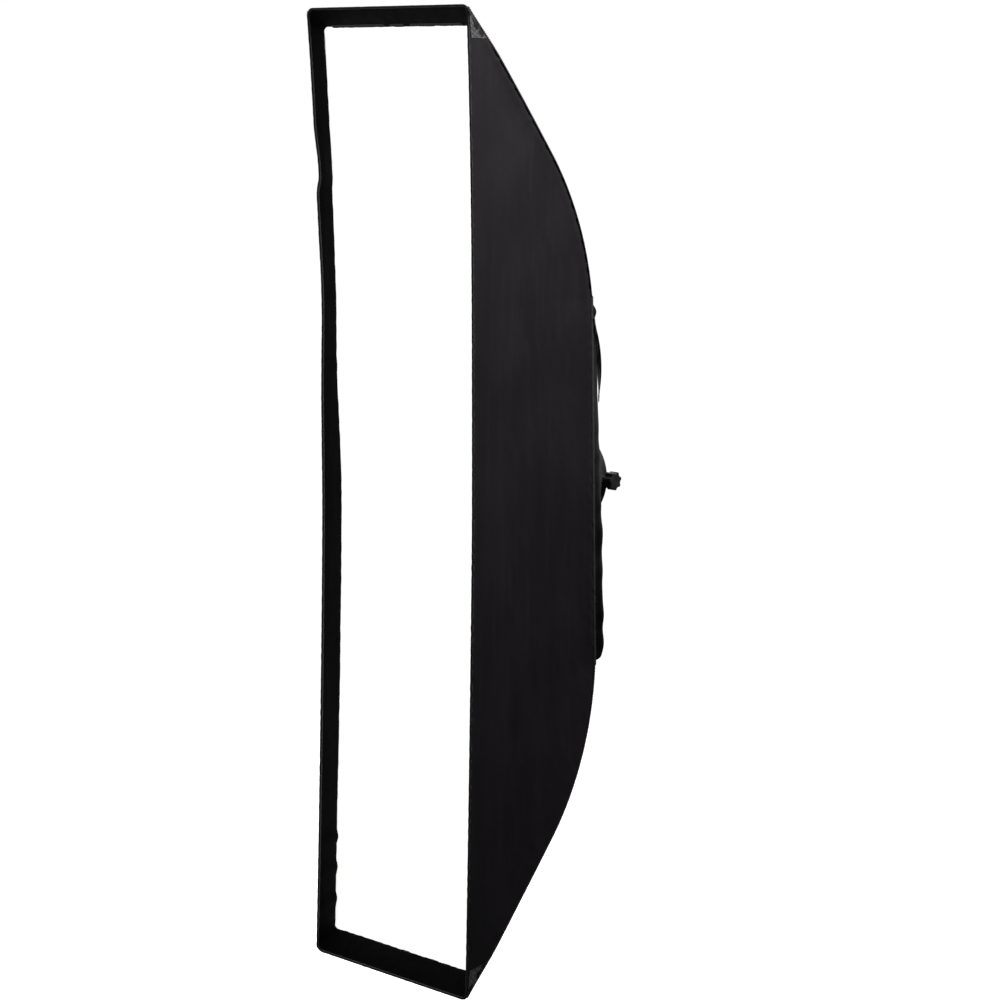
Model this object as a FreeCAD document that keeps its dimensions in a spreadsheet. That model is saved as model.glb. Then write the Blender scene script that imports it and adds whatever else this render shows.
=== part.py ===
import FreeCAD
import Part
import math
import os
import Sketcher

# A strip softbox: a soft black box on four flexible rods, hung on a speed ring that turns round a
# bayonet adapter. Lengths are in millimetres. The origin is the centre of the adapter's rear mating
# plane, +Y points back to the light, +Z up and the box opens towards -Y. "Depth" counts back from the
# front edge of the box, and "reach" counts outwards from a rod's pivot along the rod's own plane.

Vector = FreeCAD.Vector
UP = Vector(0, 0, 1)
BACK = Vector(0, 1, 0)
RIGHT = Vector(1, 0, 0)

DIMENSIONS = [
    # outer shell
    ("half_width", 175.0),
    ("half_height", 800.0),
    ("shell_depth", 471.0),
    ("rear_half_width", 96.0),
    ("rear_half_height", 324.0),
    ("fabric", 1.2),
    ("sewing_gap", 0.5),
    ("hem_step", 1.0),
    # the seam over each rod: a straight root, one bend and a straight end at the front corner. The
    # box hangs from its ring, so its weight straightens the upper rods and bends the lower ones more
    ("seam_root_depth", 440.0),
    ("upper_bend_radius", 620.0),
    ("upper_end_angle", 46.5),
    ("lower_bend_radius", 514.0),
    ("lower_end_angle", 50.5),
    # rear cover
    ("cover_slope_width", 72.0),
    ("cover_shoulder_width", 92.0),
    ("cover_shoulder_share", 0.4),
    ("cover_bulge", 4.0),
    ("cover_hole_radius", 89.0),
    ("collar_radius", 86.3),
    ("collar_thickness", 2.4),
    ("collar_front", 28.5),
    ("collar_rear", 20.0),
    # rods and their fittings
    ("rod_inset", 9.0),
    ("rod_radius", 3.5),
    ("rod_start", 26.0),
    ("rod_end_gap", 80.0),
    ("ferrule_radius", 4.5),
    ("ferrule_start", 23.0),
    ("ferrule_length", 38.0),
    ("tip_radius", 5.0),
    ("tip_length", 24.0),
    ("tip_cap", 4.0),
    ("pocket_radius", 7.0),
    ("pocket_length", 60.0),
    ("slip_gap", 0.1),
    ("binding_thickness", 2.4),
    ("binding_width", 6.0),
    ("trim_margin", 100.0),
    # rod sockets and pivots
    ("pivot_height", 60.0),
    ("pivot_forward", 40.0),
    ("pin_radius", 3.0),
    ("pin_fit", 0.02),
    ("pin_running_gap", 0.06),
    ("hub_radius", 8.8),
    ("hub_width", 14.0),
    ("ear_gap", 14.2),
    ("ear_thickness", 5.0),
    ("ear_radius", 9.0),
    ("neck_length", 14.0),
    ("heel_start", 4.0),
    ("heel_end", 12.0),
    ("socket_radius", 7.0),
    ("socket_start", 11.5),
    ("socket_end", 64.0),
    ("socket_bore_depth", 42.0),
    ("stop_gap", 0.1),
    # speed ring and adapter
    ("ring_radius", 86.0),
    ("ring_bore", 62.0),
    ("ring_front", 30.0),
    ("ring_rear", 5.0),
    ("recess_front", 19.0),
    ("flange_radius", 72.0),
    ("recess_radius", 72.06),
    ("running_gap", 0.05),
    ("root_overlap", 1.0),
    ("lamp_bore", 49.0),
    ("hub_rim_radius", 60.0),
    ("lug_inner_radius", 50.0),
    ("lug_neck_radius", 53.5),
    ("lug_claw_radius", 57.0),
    ("lug_height", 13.0),
    ("lug_claw_height", 3.0),
    ("lug_angle", 26.0),
    ("plate_inner_radius", 61.0),
    ("plate_outer_radius", 84.0),
    ("plate_thickness", 3.0),
    ("screw_circle_radius", 78.0),
    ("screw_radius", 2.0),
    ("screw_head_radius", 3.7),
    ("screw_head_height", 1.9),
    ("screw_length", 10.0),
    ("screw_count", 6.0),
    # lock screws
    ("lock_forward", 12.0),
    ("boss_radius", 6.5),
    ("boss_start", 81.0),
    ("boss_end", 92.0),
    ("bush_radius", 5.0),
    ("bush_start", 78.0),
    ("stud_radius", 3.0),
    ("stud_length", 32.0),
    ("pad_radius", 4.0),
    ("pad_thickness", 3.0),
    ("knob_radius", 16.0),
    ("knob_start", 95.0),
    ("knob_length", 16.0),
    ("knob_scallop_radius", 6.0),
    ("knob_scallops", 7.0),
    # front
    ("hem_depth", 3.5),
    ("hem_width", 4.0),
    ("corner_radius", 8.0),
    ("diffuser_depth", 38.0),
    ("diffuser_half_width", 162.0),
    ("diffuser_half_height", 755.0),
    ("border_width", 20.0),
    ("strip_width", 25.0),
    ("strip_thickness", 1.5),
    ("strip_end_gap", 15.0),
    ("strip_corner_gap", 30.0),
    ("baffle_depth", 209.0),
    ("baffle_half_width", 122.0),
    ("baffle_half_height", 582.0),
    ("tab_width", 24.0),
    ("tab_spacing", 70.0),
    ("tab_length", 15.0),
    # webbing loop on the rear cover
    ("loop_height", 215.0),
    ("loop_length", 130.0),
    ("loop_rise", 9.0),
    ("loop_width", 20.0),
    ("loop_thickness", 1.6),
]

# The four corners of the box: name, side (+1 near, -1 far) and level (+1 upper, -1 lower).
CORNERS = [
    ("upper_near", 1, 1),
    ("upper_far", -1, 1),
    ("lower_near", 1, -1),
    ("lower_far", -1, -1),
]
SIDES = [("near", 1), ("far", -1)]
LEVELS = [("upper", 1), ("lower", -1)]

doc = FreeCAD.newDocument("strip_softbox")
sheet = doc.addObject("Spreadsheet::Sheet", "Dims")
for row, (alias, value) in enumerate(DIMENSIONS, start=1):
    sheet.set(f"A{row}", alias)
    sheet.set(f"B{row}", str(value))
    sheet.setAlias(f"B{row}", alias)
doc.recompute()
nodes = []


def dim(alias):
    """A driving dimension as a number."""
    return float(getattr(sheet, alias))


def number(expression):
    """The value of an expression written in the sheet's dimensions."""
    value = sheet.evalExpression(expression)
    return float(getattr(value, "Value", value))


# ---------------------------------------------------------------- the seam's shape, as expressions

TAPER = "(Dims.half_width - Dims.rear_half_width) / (Dims.half_height - Dims.rear_half_height)"
SPLAY = f"atan({TAPER})"
PIVOT_SIDE = (
    f"(Dims.rear_half_width - (Dims.rear_half_height - Dims.pivot_height) * {TAPER}"
    f" - Dims.rod_inset / cos({SPLAY}))"
)


def bend_radius(level):
    """The seam's bend radius on a level, as an expression."""
    return "Dims.upper_bend_radius" if level > 0 else "Dims.lower_bend_radius"


def end_angle(level):
    """The angle between a level's straight seam end and the box's long side, as an expression."""
    return "Dims.upper_end_angle" if level > 0 else "Dims.lower_end_angle"


def end_run(level):
    """The length of a level's straight seam end, as an expression."""
    radius, angle = bend_radius(level), end_angle(level)
    return f"((Dims.seam_root_depth - {radius} * (1 - cos({angle}))) / sin({angle}))"


def bend_start(level):
    """The height at which a level's seam starts to bend, as an expression."""
    radius, angle = bend_radius(level), end_angle(level)
    return f"(Dims.half_height - {end_run(level)} * cos({angle}) - {radius} * sin({angle}))"


def seam_depth(height, level):
    """The seam's depth behind the front edge at a height from the centre, as a number."""
    angle = math.radians(number(end_angle(level)))
    radius = number(bend_radius(level))
    start = number(bend_start(level))
    if height <= start:
        return dim("seam_root_depth")
    if height >= start + radius * math.sin(angle):
        return (dim("half_height") - height) * math.tan(angle)
    return dim("seam_root_depth") - radius + math.sqrt(radius**2 - (height - start) ** 2)


def corner_depth(level):
    """The depth of the shell's rear corners on a level."""
    return seam_depth(dim("rear_half_height"), level)


def rear_seam_depth(height, level):
    """The depth of the straight seam between the upper and the lower rear corner, at a height."""
    middle = (corner_depth(1) + corner_depth(-1)) / 2
    return middle + (corner_depth(level) - middle) * height / dim("rear_half_height")


def seam_side(height):
    """How far the seam stands from the middle plane at a height, as a number."""
    return dim("rear_half_width") + (height - dim("rear_half_height")) * number(TAPER)


# ---------------------------------------------------------------- helpers for bodies and sketches


def new_body(label):
    """A PartDesign body that becomes one node."""
    body = doc.addObject("PartDesign::Body", "Body_" + label)
    body.Label = label
    nodes.append(body)
    return body


def plane(body, role):
    """One of the body's own origin planes or axes."""
    return next(item for item in body.Origin.OriginFeatures if item.Role == role)


def new_sketch(body, role, offset="0"):
    """A sketch on an origin plane, moved along that plane's normal by an expression."""
    sketch = body.newObject("Sketcher::SketchObject", "Sketch_" + body.Label)
    sketch.AttachmentSupport = [(plane(body, role), "")]
    sketch.MapMode = "FlatFace"
    if offset != "0":
        sketch.setExpression("AttachmentOffset.Base.z", offset)
    return sketch


def pin_point(sketch, geometry, end, across, along):
    """Fixes one point of a sketch at a place given by two expressions."""
    for kind, expression, axis in (("DistanceX", across, -2), ("DistanceY", along, -1)):
        value = number(expression)
        if abs(value) < 1e-9:
            sketch.addConstraint(Sketcher.Constraint("PointOnObject", geometry, end, axis))
            continue
        index = sketch.addConstraint(Sketcher.Constraint(kind, -1, 1, geometry, end, value))
        sketch.setExpression(f"Constraints[{index}]", expression)


def draw_polygon(sketch, corners):
    """A closed outline through corners given as pairs of expressions."""
    points = [Vector(number(across), number(along), 0) for across, along in corners]
    first = sketch.GeometryCount
    for index, point in enumerate(points):
        following = points[(index + 1) % len(points)]
        sketch.addGeometry(Part.LineSegment(point, following), False)
    for index, (across, along) in enumerate(corners):
        after = first + (index + 1) % len(corners)
        sketch.addConstraint(Sketcher.Constraint("Coincident", first + index, 2, after, 1))
        pin_point(sketch, first + index, 1, across, along)
    return sketch


def draw_circle(sketch, across, along, radius):
    """A circle whose centre and radius are expressions."""
    centre = Vector(number(across), number(along), 0)
    index = sketch.addGeometry(Part.Circle(centre, UP, number(radius)), False)
    pin_point(sketch, index, 3, across, along)
    constraint = sketch.addConstraint(Sketcher.Constraint("Radius", index, number(radius)))
    sketch.setExpression(f"Constraints[{constraint}]", radius)
    return sketch


def rectangle(across_low, across_high, along_low, along_high):
    """The corners of a rectangle, from four expressions."""
    return [
        (across_low, along_low),
        (across_high, along_low),
        (across_high, along_high),
        (across_low, along_high),
    ]


def pad(body, sketch, length, both_ways=False, backwards=False):
    """Raises a sketch by an expression."""
    feature = body.newObject("PartDesign::Pad", "Pad_" + body.Label)
    feature.Profile = sketch
    feature.setExpression("Length", length)
    feature.Midplane = both_ways
    feature.Reversed = backwards
    doc.recompute()
    return feature


def pocket(body, sketch, length=None, both_ways=False):
    """Cuts a sketch through the body, or to a depth on whichever side holds material."""
    before = body.Shape.Volume
    feature = body.newObject("PartDesign::Pocket", "Pocket_" + body.Label)
    feature.Profile = sketch
    if length is None:
        feature.Type = "ThroughAll"
        feature.Midplane = both_ways
    else:
        feature.setExpression("Length", length)
    doc.recompute()
    if abs(body.Shape.Volume - before) < 1e-6:
        feature.Reversed = True
        doc.recompute()
    if before - body.Shape.Volume < 1e-6:
        raise RuntimeError(f"a pocket in {body.Label} cuts nothing")
    return feature


def revolve(body, sketch, degrees=360.0, both_ways=False):
    """Turns a sketch round its own vertical axis."""
    feature = body.newObject("PartDesign::Revolution", "Revolution_" + body.Label)
    feature.Profile = sketch
    feature.ReferenceAxis = (sketch, ["V_Axis"])
    feature.Angle = degrees
    feature.Midplane = both_ways
    doc.recompute()
    return feature


def repeat_round(body, feature, axis, count):
    """Repeats a feature in a full circle about one of the body's axes."""
    pattern = body.newObject("PartDesign::PolarPattern", "Pattern_" + body.Label)
    pattern.Originals = [feature]
    pattern.Axis = (plane(body, axis), [""])
    pattern.Angle = 360
    pattern.Occurrences = int(count)
    body.Tip = pattern
    doc.recompute()
    return pattern


def turned(label, outline):
    """A piece turned about the light's axis, from an outline of (radius, y) expressions."""
    body = new_body(label)
    revolve(body, draw_polygon(new_sketch(body, "XY_Plane"), outline))
    return body


def add_solids(label, solids):
    """A node of identical loose pieces, or of one piece that no sketch describes."""
    feature = doc.addObject("Part::Feature", "Piece_" + label)
    feature.Label = label
    feature.Shape = solids[0] if len(solids) == 1 else Part.makeCompound(solids)
    nodes.append(feature)
    return feature


def hang_on_rod(body, side, level):
    """Puts a body's own frame at a rod's pivot, with its Z along the rod's plane."""
    body.Placement.Rotation = FreeCAD.Rotation(BACK, 1.0)
    body.setExpression("Placement.Base.x", f"{side} * ({PIVOT_SIDE})")
    body.setExpression("Placement.Base.z", f"{level} * Dims.pivot_height")
    body.setExpression("Placement.Rotation.Angle", rod_turn(side, level))


def rod_turn(side, level):
    """The turn about Y that carries Z onto a rod's outward direction."""
    return f"{90 - 90 * level} + {side * level} * {SPLAY} / 1 deg"


# ---------------------------------------------------------------- adapter, speed ring and plate


def make_adapter():
    """The bayonet adapter: a flange that turns in the ring, a rim, and three L-shaped lugs."""
    front = "-(Dims.recess_front - Dims.running_gap)"
    rear = "-(Dims.ring_rear + Dims.running_gap)"
    body = turned(
        "bayonet_adapter",
        [
            ("Dims.lamp_bore", front),
            ("Dims.flange_radius", front),
            ("Dims.flange_radius", rear),
            ("Dims.hub_rim_radius", rear),
            ("Dims.hub_rim_radius", "0"),
            ("Dims.lamp_bore", "0"),
        ],
    )
    claw = "Dims.lug_height - Dims.lug_claw_height"
    lug = draw_polygon(
        new_sketch(body, "XY_Plane"),
        [
            ("Dims.lug_inner_radius", "-Dims.root_overlap"),
            ("Dims.lug_neck_radius", "-Dims.root_overlap"),
            ("Dims.lug_neck_radius", claw),
            ("Dims.lug_claw_radius", claw),
            ("Dims.lug_claw_radius", "Dims.lug_height"),
            ("Dims.lug_inner_radius", "Dims.lug_height"),
        ],
    )
    lug_feature = revolve(body, lug, dim("lug_angle"), both_ways=True)
    repeat_round(body, lug_feature, "Y_Axis", 3)


def make_speed_ring():
    """The speed ring: a stepped ring with four clevises in front and two lock bosses at its sides."""
    body = turned(
        "speed_ring",
        [
            ("Dims.ring_bore", "-Dims.ring_front"),
            ("Dims.ring_radius", "-Dims.ring_front"),
            ("Dims.ring_radius", "-Dims.ring_rear"),
            ("Dims.recess_radius", "-Dims.ring_rear"),
            ("Dims.recess_radius", "-Dims.recess_front"),
            ("Dims.ring_bore", "-Dims.recess_front"),
        ],
    )
    for _, side, level in CORNERS:
        add_clevis(body, side, level)
    holes = new_sketch(body, "YZ_Plane")
    for _, level in LEVELS:
        middle = f"{level} * Dims.pivot_height"
        draw_circle(holes, "-Dims.pivot_forward", middle, "Dims.pin_radius + Dims.pin_fit")
    pocket(body, holes, both_ways=True)
    for _, side in SIDES:
        boss = new_sketch(body, "YZ_Plane", f"{side} * Dims.boss_start")
        draw_circle(boss, "-Dims.lock_forward", "0", "Dims.boss_radius")
        pad(body, boss, "Dims.boss_end - Dims.boss_start", backwards=side < 0)
    pad_hole = new_sketch(body, "YZ_Plane")
    draw_circle(pad_hole, "-Dims.lock_forward", "0", "Dims.pad_radius + Dims.slip_gap")
    pocket(body, pad_hole, both_ways=True)
    for _, side in SIDES:
        seat = new_sketch(body, "YZ_Plane", f"{side} * Dims.boss_end")
        draw_circle(seat, "-Dims.lock_forward", "0", "Dims.bush_radius + Dims.pin_fit")
        pocket(body, seat, "Dims.boss_end - Dims.bush_start")
    screw_hole = new_sketch(body, "XZ_Plane", "Dims.ring_rear")
    place_on_screw_circle(screw_hole, "Dims.screw_radius + Dims.slip_gap")
    drilled = pocket(body, screw_hole, "Dims.screw_length")
    repeat_round(body, drilled, "Y_Axis", dim("screw_count"))


def add_clevis(body, side, level):
    """Two ears that hold one rod socket's pin: a chamfered block with a slot through it."""
    root = "Dims.root_overlap - Dims.ring_front"
    inner = f"{level} * (Dims.pivot_height - Dims.ear_radius)"
    outer = f"{level} * (Dims.pivot_height + Dims.ear_radius)"
    inner_tip = f"{level} * (Dims.pivot_height - Dims.ear_radius / 2)"
    outer_tip = f"{level} * (Dims.pivot_height + Dims.ear_radius / 2)"
    waist = "-Dims.pivot_forward - Dims.ear_radius / 2"
    tip = "-Dims.pivot_forward - Dims.ear_radius"
    block = new_sketch(body, "YZ_Plane", f"{side} * {PIVOT_SIDE}")
    draw_polygon(
        block,
        [
            (root, inner),
            (root, outer),
            (waist, outer),
            (tip, outer_tip),
            (tip, inner_tip),
            (waist, inner),
        ],
    )
    pad(body, block, "Dims.ear_gap + 2 * Dims.ear_thickness", both_ways=True)
    slot = new_sketch(body, "XY_Plane")
    middle = f"{side} * {PIVOT_SIDE}"
    slot_outline = rectangle(
        f"{middle} - Dims.ear_gap / 2",
        f"{middle} + Dims.ear_gap / 2",
        "-Dims.pivot_forward - 2 * Dims.ear_radius",
        "-Dims.ring_front",
    )
    slot.setExpression("AttachmentOffset.Base.z", f"{level} * (Dims.pivot_height + 2 * Dims.ear_radius)")
    draw_polygon(slot, slot_outline)
    pocket(body, slot, "4 * Dims.ear_radius")


def place_on_screw_circle(sketch, radius):
    """One circle at the first screw's place, 30 degrees from the side."""
    across = "Dims.screw_circle_radius * cos(30 deg)"
    along = "Dims.screw_circle_radius * sin(30 deg)"
    draw_circle(sketch, across, along, radius)


def make_retainer_plate():
    """The plate that keeps the adapter's flange in the ring, with a counterbore for each screw."""
    rear = "Dims.plate_thickness - Dims.ring_rear"
    body = turned(
        "retainer_plate",
        rectangle("Dims.plate_inner_radius", "Dims.plate_outer_radius", "-Dims.ring_rear", rear),
    )
    cuts = (
        ("Dims.screw_radius + Dims.slip_gap", None),
        ("Dims.screw_head_radius + Dims.slip_gap", "Dims.screw_head_height + Dims.slip_gap"),
    )
    for radius, depth in cuts:
        hole = new_sketch(body, "XZ_Plane", f"-({rear})")
        place_on_screw_circle(hole, radius)
        drilled = pocket(body, hole, depth, both_ways=depth is None)
        repeat_round(body, drilled, "Y_Axis", dim("screw_count"))


def make_retainer_screws():
    """Socket-head screws through the retainer plate, one solid each."""
    head_top = dim("plate_thickness") - dim("ring_rear")
    head_bottom = head_top - dim("screw_head_height")
    forward = -BACK
    solids = []
    for index in range(int(dim("screw_count"))):
        angle = math.radians(30 + 360 * index / dim("screw_count"))
        radius = dim("screw_circle_radius")
        top = Vector(radius * math.cos(angle), head_top, radius * math.sin(angle))
        shoulder = Vector(top.x, head_bottom, top.z)
        head = Part.makeCylinder(dim("screw_head_radius"), dim("screw_head_height"), top, forward)
        shank = Part.makeCylinder(dim("screw_radius"), dim("screw_length") - 2, shoulder, forward)
        key = Part.makeCylinder(dim("screw_radius") * 0.7, dim("screw_head_height") / 2, top, forward)
        solids.append(head.fuse(shank).cut(key))
    add_solids("retainer_screws", solids)


# ---------------------------------------------------------------- lock screws


def make_lock_bushes():
    """A plain bush pressed into each boss, in place of its thread."""
    length = dim("boss_end") - dim("bush_start")
    solids = []
    for _, side in SIDES:
        start = Vector(side * dim("bush_start"), -dim("lock_forward"), 0)
        outer = Part.makeCylinder(dim("bush_radius"), length, start, RIGHT * side)
        inner = Part.makeCylinder(dim("stud_radius") + dim("running_gap"), length, start, RIGHT * side)
        solids.append(outer.cut(inner))
    add_solids("lock_bushes", solids)


def make_lock_screw(side_name, side):
    """A clamp pad on the flange's rim, the stud that drives it and the lobed knob on the stud."""
    pad_start = "Dims.flange_radius + Dims.running_gap"
    stud_start = f"({pad_start} + Dims.pad_thickness + Dims.slip_gap)"
    round_pieces = (
        ("clamp_pad", pad_start, "Dims.pad_thickness", "Dims.pad_radius"),
        ("lock_stud", stud_start, "Dims.stud_length", "Dims.stud_radius"),
    )
    for name, start, length, radius in round_pieces:
        body = new_body(f"{side_name}_{name}")
        disc = new_sketch(body, "YZ_Plane", f"{side} * ({start})")
        pad(body, draw_circle(disc, "-Dims.lock_forward", "0", radius), length, backwards=side < 0)
    knob = new_body(f"{side_name}_lock_knob")
    face = new_sketch(knob, "YZ_Plane", f"{side} * Dims.knob_start")
    draw_circle(face, "0", "0", "Dims.knob_radius")
    pad(knob, face, "Dims.knob_length", backwards=side < 0)
    scallop = new_sketch(knob, "YZ_Plane")
    draw_circle(scallop, "0", "Dims.knob_radius + Dims.knob_scallop_radius / 2", "Dims.knob_scallop_radius")
    cut = pocket(knob, scallop, both_ways=True)
    repeat_round(knob, cut, "X_Axis", dim("knob_scallops"))
    bore = new_sketch(knob, "YZ_Plane", f"{side} * Dims.knob_start")
    draw_circle(bore, "0", "0", "Dims.stud_radius + Dims.pin_fit")
    bore_depth = f"{stud_start} + Dims.stud_length + Dims.slip_gap - Dims.knob_start"
    pocket(knob, bore, bore_depth)
    knob.setExpression("Placement.Base.y", "-Dims.lock_forward")


# ---------------------------------------------------------------- rods and what holds them


def make_pivot_pins():
    """The four pins that the rod sockets swing on, each held in its own clevis."""
    length = dim("ear_gap") + 2 * dim("ear_thickness")
    solids = []
    for _, side, level in CORNERS:
        middle = side * number(PIVOT_SIDE)
        start = Vector(middle - length / 2, -dim("pivot_forward"), level * dim("pivot_height"))
        solids.append(Part.makeCylinder(dim("pin_radius"), length, start, RIGHT))
    add_solids("pivot_pins", solids)


def tilted_sketch(body, side, level, reach):
    """A sketch square to a rod's root, at a reach from its pivot."""
    sketch = new_sketch(body, "XY_Plane")
    sketch.AttachmentOffset = FreeCAD.Placement(Vector(0, 0, 0), FreeCAD.Rotation(BACK, 1.0))
    sketch.setExpression("AttachmentOffset.Rotation.Angle", rod_turn(side, level))
    sketch.setExpression("AttachmentOffset.Base.x", f"{side} * ({PIVOT_SIDE} + ({reach}) * sin({SPLAY}))")
    sketch.setExpression("AttachmentOffset.Base.y", "-Dims.pivot_forward")
    level_reach = f"Dims.pivot_height + ({reach}) * cos({SPLAY})"
    sketch.setExpression("AttachmentOffset.Base.z", f"{level} * ({level_reach})")
    return sketch


def make_rod_socket(corner, side, level):
    """A hub on its pin, a neck whose heel stops against the ring, and the tube for the rod."""
    body = new_body(f"{corner}_rod_socket")
    offset = f"{side} * {PIVOT_SIDE}"
    hub = new_sketch(body, "YZ_Plane", offset)
    draw_circle(hub, "-Dims.pivot_forward", f"{level} * Dims.pivot_height", "Dims.hub_radius")
    pad(body, hub, "Dims.hub_width", both_ways=True)
    front = "-Dims.pivot_forward - Dims.socket_radius"
    back = "-Dims.pivot_forward + Dims.socket_radius"
    heel = "-Dims.ring_front - Dims.stop_gap"

    def at(distance):
        return f"{level} * (Dims.pivot_height + {distance})"

    neck = new_sketch(body, "YZ_Plane", offset)
    draw_polygon(
        neck,
        [
            (front, at("0")),
            (front, at("Dims.neck_length")),
            (back, at("Dims.neck_length")),
            (back, at("Dims.heel_end")),
            (heel, at("Dims.heel_end")),
            (heel, at("Dims.heel_start")),
            (back, at("Dims.heel_start")),
            (back, at("0")),
        ],
    )
    pad(body, neck, "Dims.hub_width - Dims.slip_gap", both_ways=True)
    tube = tilted_sketch(body, side, level, "Dims.socket_start")
    draw_circle(tube, "0", "0", "Dims.socket_radius")
    pad(body, tube, "Dims.socket_end - Dims.socket_start")
    mouth = tilted_sketch(body, side, level, "Dims.socket_end")
    draw_circle(mouth, "0", "0", "Dims.ferrule_radius + Dims.slip_gap")
    pocket(body, mouth, "Dims.socket_bore_depth")
    eye = new_sketch(body, "YZ_Plane")
    pin_gap = "Dims.pin_radius + Dims.pin_running_gap"
    draw_circle(eye, "-Dims.pivot_forward", f"{level} * Dims.pivot_height", pin_gap)
    pocket(body, eye, both_ways=True)


def make_ferrule(corner, side, level):
    """The metal sleeve on a rod's root."""
    body = new_body(f"{corner}_ferrule")
    sketch = tilted_sketch(body, side, level, "Dims.ferrule_start")
    draw_circle(sketch, "0", "0", "Dims.ferrule_radius")
    draw_circle(sketch, "0", "0", "Dims.rod_radius + Dims.running_gap")
    pad(body, sketch, "Dims.ferrule_length")


def splayed():
    """The splay of a rod's plane, in radians."""
    return math.radians(number(SPLAY))


def rod_curve(level):
    """The points of a rod's axis in its own frame: straight out, round one bend, straight to the end.

    The rod's plane leans by the splay, so the seam's arc is a little longer there than it looks from
    the side. Returns the start, the bend's start, middle and end, the far end and the end's angle.
    """
    inset = dim("rod_inset")
    lean = math.cos(splayed())
    angle = math.atan(math.tan(math.radians(number(end_angle(level)))) * lean)
    root_y = dim("seam_root_depth") - inset - dim("shell_depth")
    corner = Vector(0, -dim("shell_depth"), (dim("half_height") - dim("pivot_height")) / lean)
    inward = Vector(0, -math.cos(angle), -math.sin(angle))
    outward = Vector(0, -math.sin(angle), math.cos(angle))
    end = corner + inward * inset - outward * dim("rod_end_gap")
    radius = number(bend_radius(level)) / lean - inset
    run = (root_y - end.y - radius * (1 - math.cos(angle))) / math.sin(angle)
    bend_end = end - outward * run
    centre = bend_end + inward * radius
    middle = centre + Vector(0, math.cos(angle / 2), math.sin(angle / 2)) * radius
    start = Vector(0, root_y, dim("rod_start"))
    return start, Vector(0, root_y, centre.z), middle, bend_end, end, angle


def flat(point):
    """A point of a body's YZ plane as a sketch on that plane sees it."""
    return Vector(point.y, point.z, 0)


def make_rod(corner, side, level):
    """A flexible rod: straight out of its ferrule, bent by the fabric, and straight to the corner."""
    body = new_body(f"{corner}_rod")
    profile = new_sketch(body, "XY_Plane", "Dims.rod_start")
    draw_circle(profile, "0", "-Dims.pivot_forward", "Dims.rod_radius")
    start, bend_from, middle, bend_end, end, _ = rod_curve(level)
    path = new_sketch(body, "YZ_Plane")
    path.addGeometry(Part.LineSegment(flat(start), flat(bend_from)), False)
    path.addGeometry(Part.Arc(flat(bend_from), flat(middle), flat(bend_end)), False)
    path.addGeometry(Part.LineSegment(flat(bend_end), flat(end)), False)
    doc.recompute()
    pipe = body.newObject("PartDesign::AdditivePipe", "Pipe_" + body.Label)
    pipe.Profile = profile
    pipe.Spine = (path, ["Edge1", "Edge2", "Edge3"])
    doc.recompute()
    hang_on_rod(body, side, level)


def rod_end_placement(side, level):
    """The place of a rod's front end, with Z along the rod and outwards."""
    *_, end, angle = rod_curve(level)
    pivot = Vector(side * number(PIVOT_SIDE), 0, level * dim("pivot_height"))
    root = FreeCAD.Placement(pivot, FreeCAD.Rotation(BACK, number(rod_turn(side, level))))
    return root * FreeCAD.Placement(end, FreeCAD.Rotation(RIGHT, math.degrees(angle)))


def make_sleeve(label, side, level, back, front, outer_radius, inner_radius, wall):
    """A round cap over a rod's front end, open towards the ring and closed by a wall in front."""
    body = new_body(label)
    blank = new_sketch(body, "XY_Plane", f"-({back})")
    draw_circle(blank, "0", "0", outer_radius)
    pad(body, blank, f"{back} + {front}")
    mouth = new_sketch(body, "XY_Plane", f"-({back})")
    draw_circle(mouth, "0", "0", inner_radius)
    bore = body.newObject("PartDesign::Pocket", "Bore_" + label)
    bore.Profile = mouth
    bore.Reversed = True
    bore.setExpression("Length", f"{back} + {front} - ({wall})")
    doc.recompute()
    body.Placement = rod_end_placement(side, level)


def make_rod_end(corner, side, level):
    """The moulded tip on a rod and the sewn pocket that holds it in the box's corner."""
    tip_back = "Dims.tip_length - Dims.tip_cap"
    tip_bore = "Dims.rod_radius + Dims.running_gap"
    make_sleeve(
        f"{corner}_rod_tip", side, level, tip_back, "Dims.tip_cap",
        "Dims.tip_radius", tip_bore, "Dims.tip_cap - Dims.slip_gap",
    )
    pocket_front = "Dims.tip_cap + Dims.slip_gap + 2 * Dims.fabric"
    make_sleeve(
        f"{corner}_corner_pocket", side, level, f"Dims.pocket_length - ({pocket_front})", pocket_front,
        "Dims.pocket_radius", "Dims.tip_radius + Dims.slip_gap", "2 * Dims.fabric",
    )


# ---------------------------------------------------------------- shell: panels, cover and bindings


def seam_points(level, first, last, count, sideways=0.0, proud=0.0):
    """Points along a level's near seam, as if it were the upper one, moved sideways and outwards."""
    points = []
    for index in range(count):
        height = first + (last - first) * index / (count - 1)
        slope = math.atan(seam_depth(height - 0.5, level) - seam_depth(height + 0.5, level))
        points.append(
            Vector(
                seam_side(height) + sideways,
                seam_depth(height, level) - dim("shell_depth") + proud * math.cos(slope),
                height + proud * math.sin(slope),
            )
        )
    return points


def mirrored(shape, side, level):
    """A shape of the near upper corner, carried to another corner."""
    if side < 0:
        shape = shape.mirror(Vector(0, 0, 0), RIGHT)
    if level < 0:
        shape = shape.mirror(Vector(0, 0, 0), UP)
    return shape


def smooth_edge(points):
    """One smooth curve through points."""
    curve = Part.BSplineCurve()
    curve.interpolate(points)
    return curve.toShape()


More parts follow.
